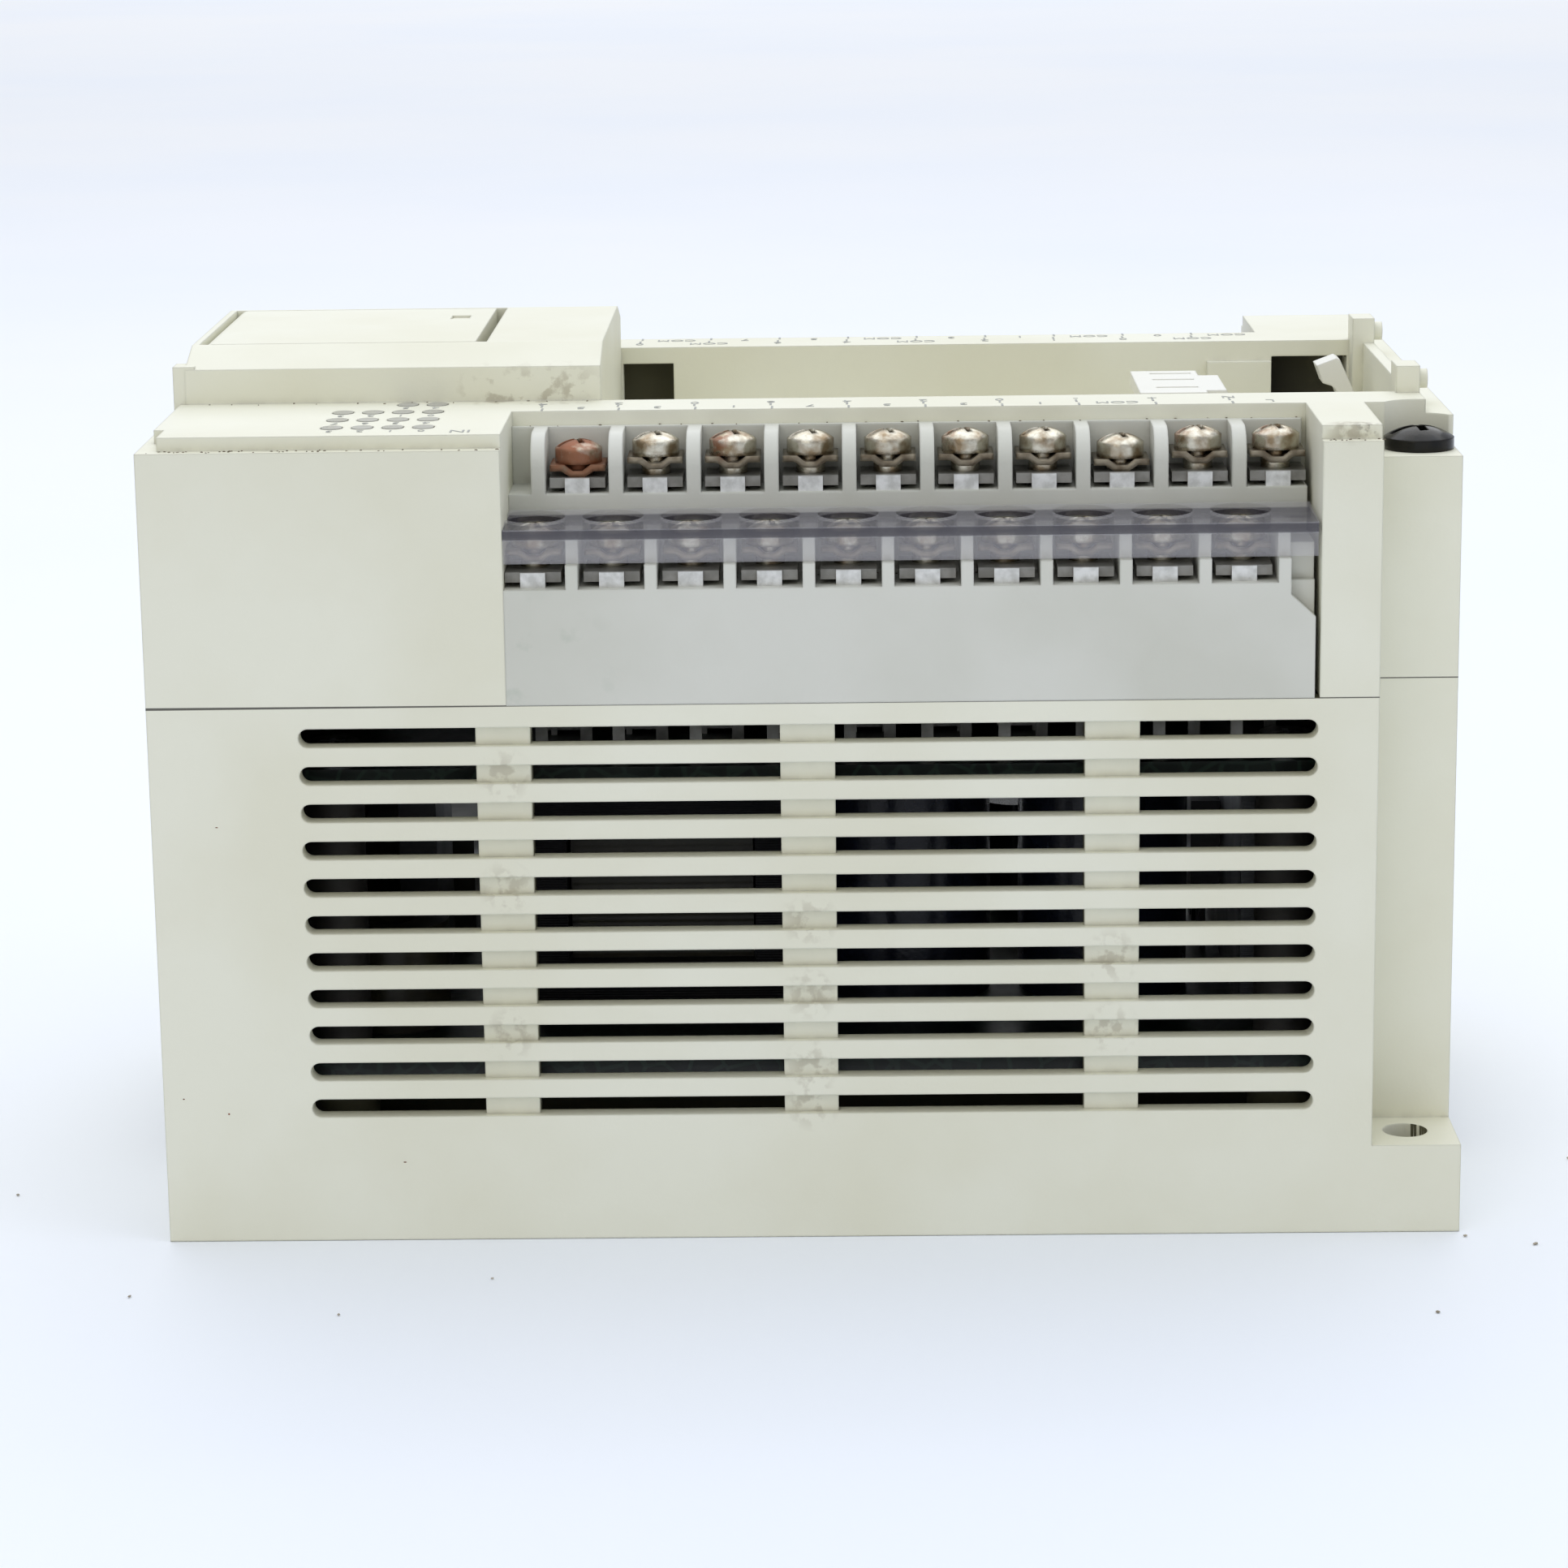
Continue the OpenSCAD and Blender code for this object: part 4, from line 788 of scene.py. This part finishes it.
class MODULE_OT_solder(ModuleOperator, bpy.types.Operator):
    """Put a solder joint round every leg on the terminal board"""

    bl_idname = "module.solder"
    bl_label = "Solder joints"

    def execute(self, context):
        s = self.props(context)[1]
        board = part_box("io_board")
        points = []
        for side, sign in (("input", -1), ("output", 1)):
            for row in screw_rows(side + "_terminal_screws"):
                for box in row:
                    spot = middle(box)
                    points.append((spot.x, spot.y - sign * 2.15 * MM, board[0].z))
        # leaded solder, bright and wetted
        tin = finish("Tin lead solder", linear("#C9CCCE"), linear("#AEB2B5"), patch=1 * MM, rough=0.22, metallic=1.0)
        grow("solder_joints", dome_tree(), points, "case", radius=s.solder, material=tin)
        return {"FINISHED"}


class MODULE_OT_stage(ModuleOperator, bpy.types.Operator):
    """Make the pale floor, the soft studio light and the camera"""

    bl_idname = "module.stage"
    bl_label = "Stage"

    def execute(self, context):
        c, s = self.props(context)
        scene = context.scene
        mesh = bpy.data.meshes.new("floor")
        half = 6.0
        low = -0.05 * MM
        mesh.from_pydata([(-half, -half, low), (half, -half, low), (half, half, low), (-half, half, low)], [], [(0, 1, 2, 3)])
        floor = bpy.data.objects.new("floor", mesh)
        scene.collection.objects.link(floor)
        # seamless paper sweep: matt, cool white
        mesh.materials.append(finish(
            "Seamless paper, cool white", c.floor[:], linear("#EFF3F9"), patch=0.3, rough=0.8, relief=0.02 * MM,
            grain=1.5 * MM,
        ))
        # crumbs on the paper
        crumbs = [at(-67, -60, 0.1), at(-44, -66, 0.1), at(71, -50, 0.1), at(60, -68, 0.1), at(77, -44, 0.1),
                  at(-82, -30, 0.1), at(80, -20, 0.1), at(-70, -105, 0.1), at(66, -47, 0.1), at(-30, -56, 0.1)]
        grit = finish("Paper crumbs, brown", linear("#8F8676"), linear("#B8B09E"), patch=1 * MM, rough=0.9)
        grow("crumbs", grain_tree(), crumbs, None, size=0.3 * MM, spread=at(2, 3, 0), seed=3, material=grit)

        world = bpy.data.worlds.new("Studio")
        scene.world = world
        world.use_nodes = True
        world.node_tree.nodes["Background"].inputs[0].default_value = linear("#F0F4FC")
        world.node_tree.nodes["Background"].inputs[1].default_value = 0.6
        for name, place, size, power, tint in (
            ("overhead", (0.0, 0.1, 1.1), 1.3, 7.0, "#F0F5FF"),
            ("front", (-0.5, -1.2, 0.9), 0.9, 2.8, "#FFF7EA"),
            ("right", (1.1, -0.4, 0.7), 0.8, 1.7, "#F6F9FF"),
            ("sweep", (0.0, 2.6, 1.7), 2.6, 24.0, "#FFFFFF"),
        ):
            lamp = bpy.data.lights.new(name, "AREA")
            lamp.shape, lamp.size, lamp.energy, lamp.color = "SQUARE", size, power, linear(tint)[:3]
            light = bpy.data.objects.new(name, lamp)
            light.location = place
            aim = Vector((0, max(0.0, place[1] - 0.6), 0.04))
            light.rotation_euler = (aim - Vector(place)).to_track_quat("-Z", "Y").to_euler()
            scene.collection.objects.link(light)

        lens = bpy.data.cameras.new("view")
        lens.sensor_width, lens.lens, lens.clip_start = 36.0, 100.53, 0.01
        camera = bpy.data.objects.new("view", lens)
        scene.collection.objects.link(camera)
        right, up = Vector((0.99987, 0.0163, 0.0)), Vector((-0.0037, 0.2261, 0.9741))
        ahead = Vector((-0.01588, 0.97397, -0.22613))
        roll = -0.0134
        across = right * math.cos(roll) + up * math.sin(roll)
        upward = up * math.cos(roll) - right * math.sin(roll)
        turn = Matrix((across, upward, -ahead)).transposed()
        camera.matrix_world = Matrix.Translation((0.0045027, -0.464915, 0.144367)) @ turn.to_4x4()
        scene.camera = camera
        scene.view_settings.view_transform = "Standard"
        return {"FINISHED"}


STEPS = (
    MODULE_OT_case_finish, MODULE_OT_terminal_finish, MODULE_OT_fitting_finish, MODULE_OT_terminal_legends,
    MODULE_OT_indicator_legends, MODULE_OT_wear, MODULE_OT_solder, MODULE_OT_stage,
)


class MODULE_PT_panel(bpy.types.Panel):
    """Lists the steps that finish the module."""

    bl_label = "Controller module"
    bl_idname = "MODULE_PT_panel"
    bl_space_type = "VIEW_3D"
    bl_region_type = "UI"
    bl_category = "Module"

    def draw(self, context):
        for step in STEPS:
            self.layout.operator(step.bl_idname)
        for group in (context.scene.module_colours, context.scene.module_sizes):
            for key in group.__annotations__:
                self.layout.prop(group, key)


CLASSES = (ModuleColours, ModuleSizes, *STEPS, MODULE_PT_panel)


def register():
    for cls in CLASSES:
        bpy.utils.register_class(cls)
    bpy.types.Scene.module_colours = bpy.props.PointerProperty(type=ModuleColours)
    bpy.types.Scene.module_sizes = bpy.props.PointerProperty(type=ModuleSizes)


def unregister():
    del bpy.types.Scene.module_colours, bpy.types.Scene.module_sizes
    for cls in reversed(CLASSES):
        bpy.utils.unregister_class(cls)


def main():
    register()
    for step in STEPS:
        group, name = step.bl_idname.split(".")
        getattr(getattr(bpy.ops, group), name)()


if __name__ == "__main__":
    main()
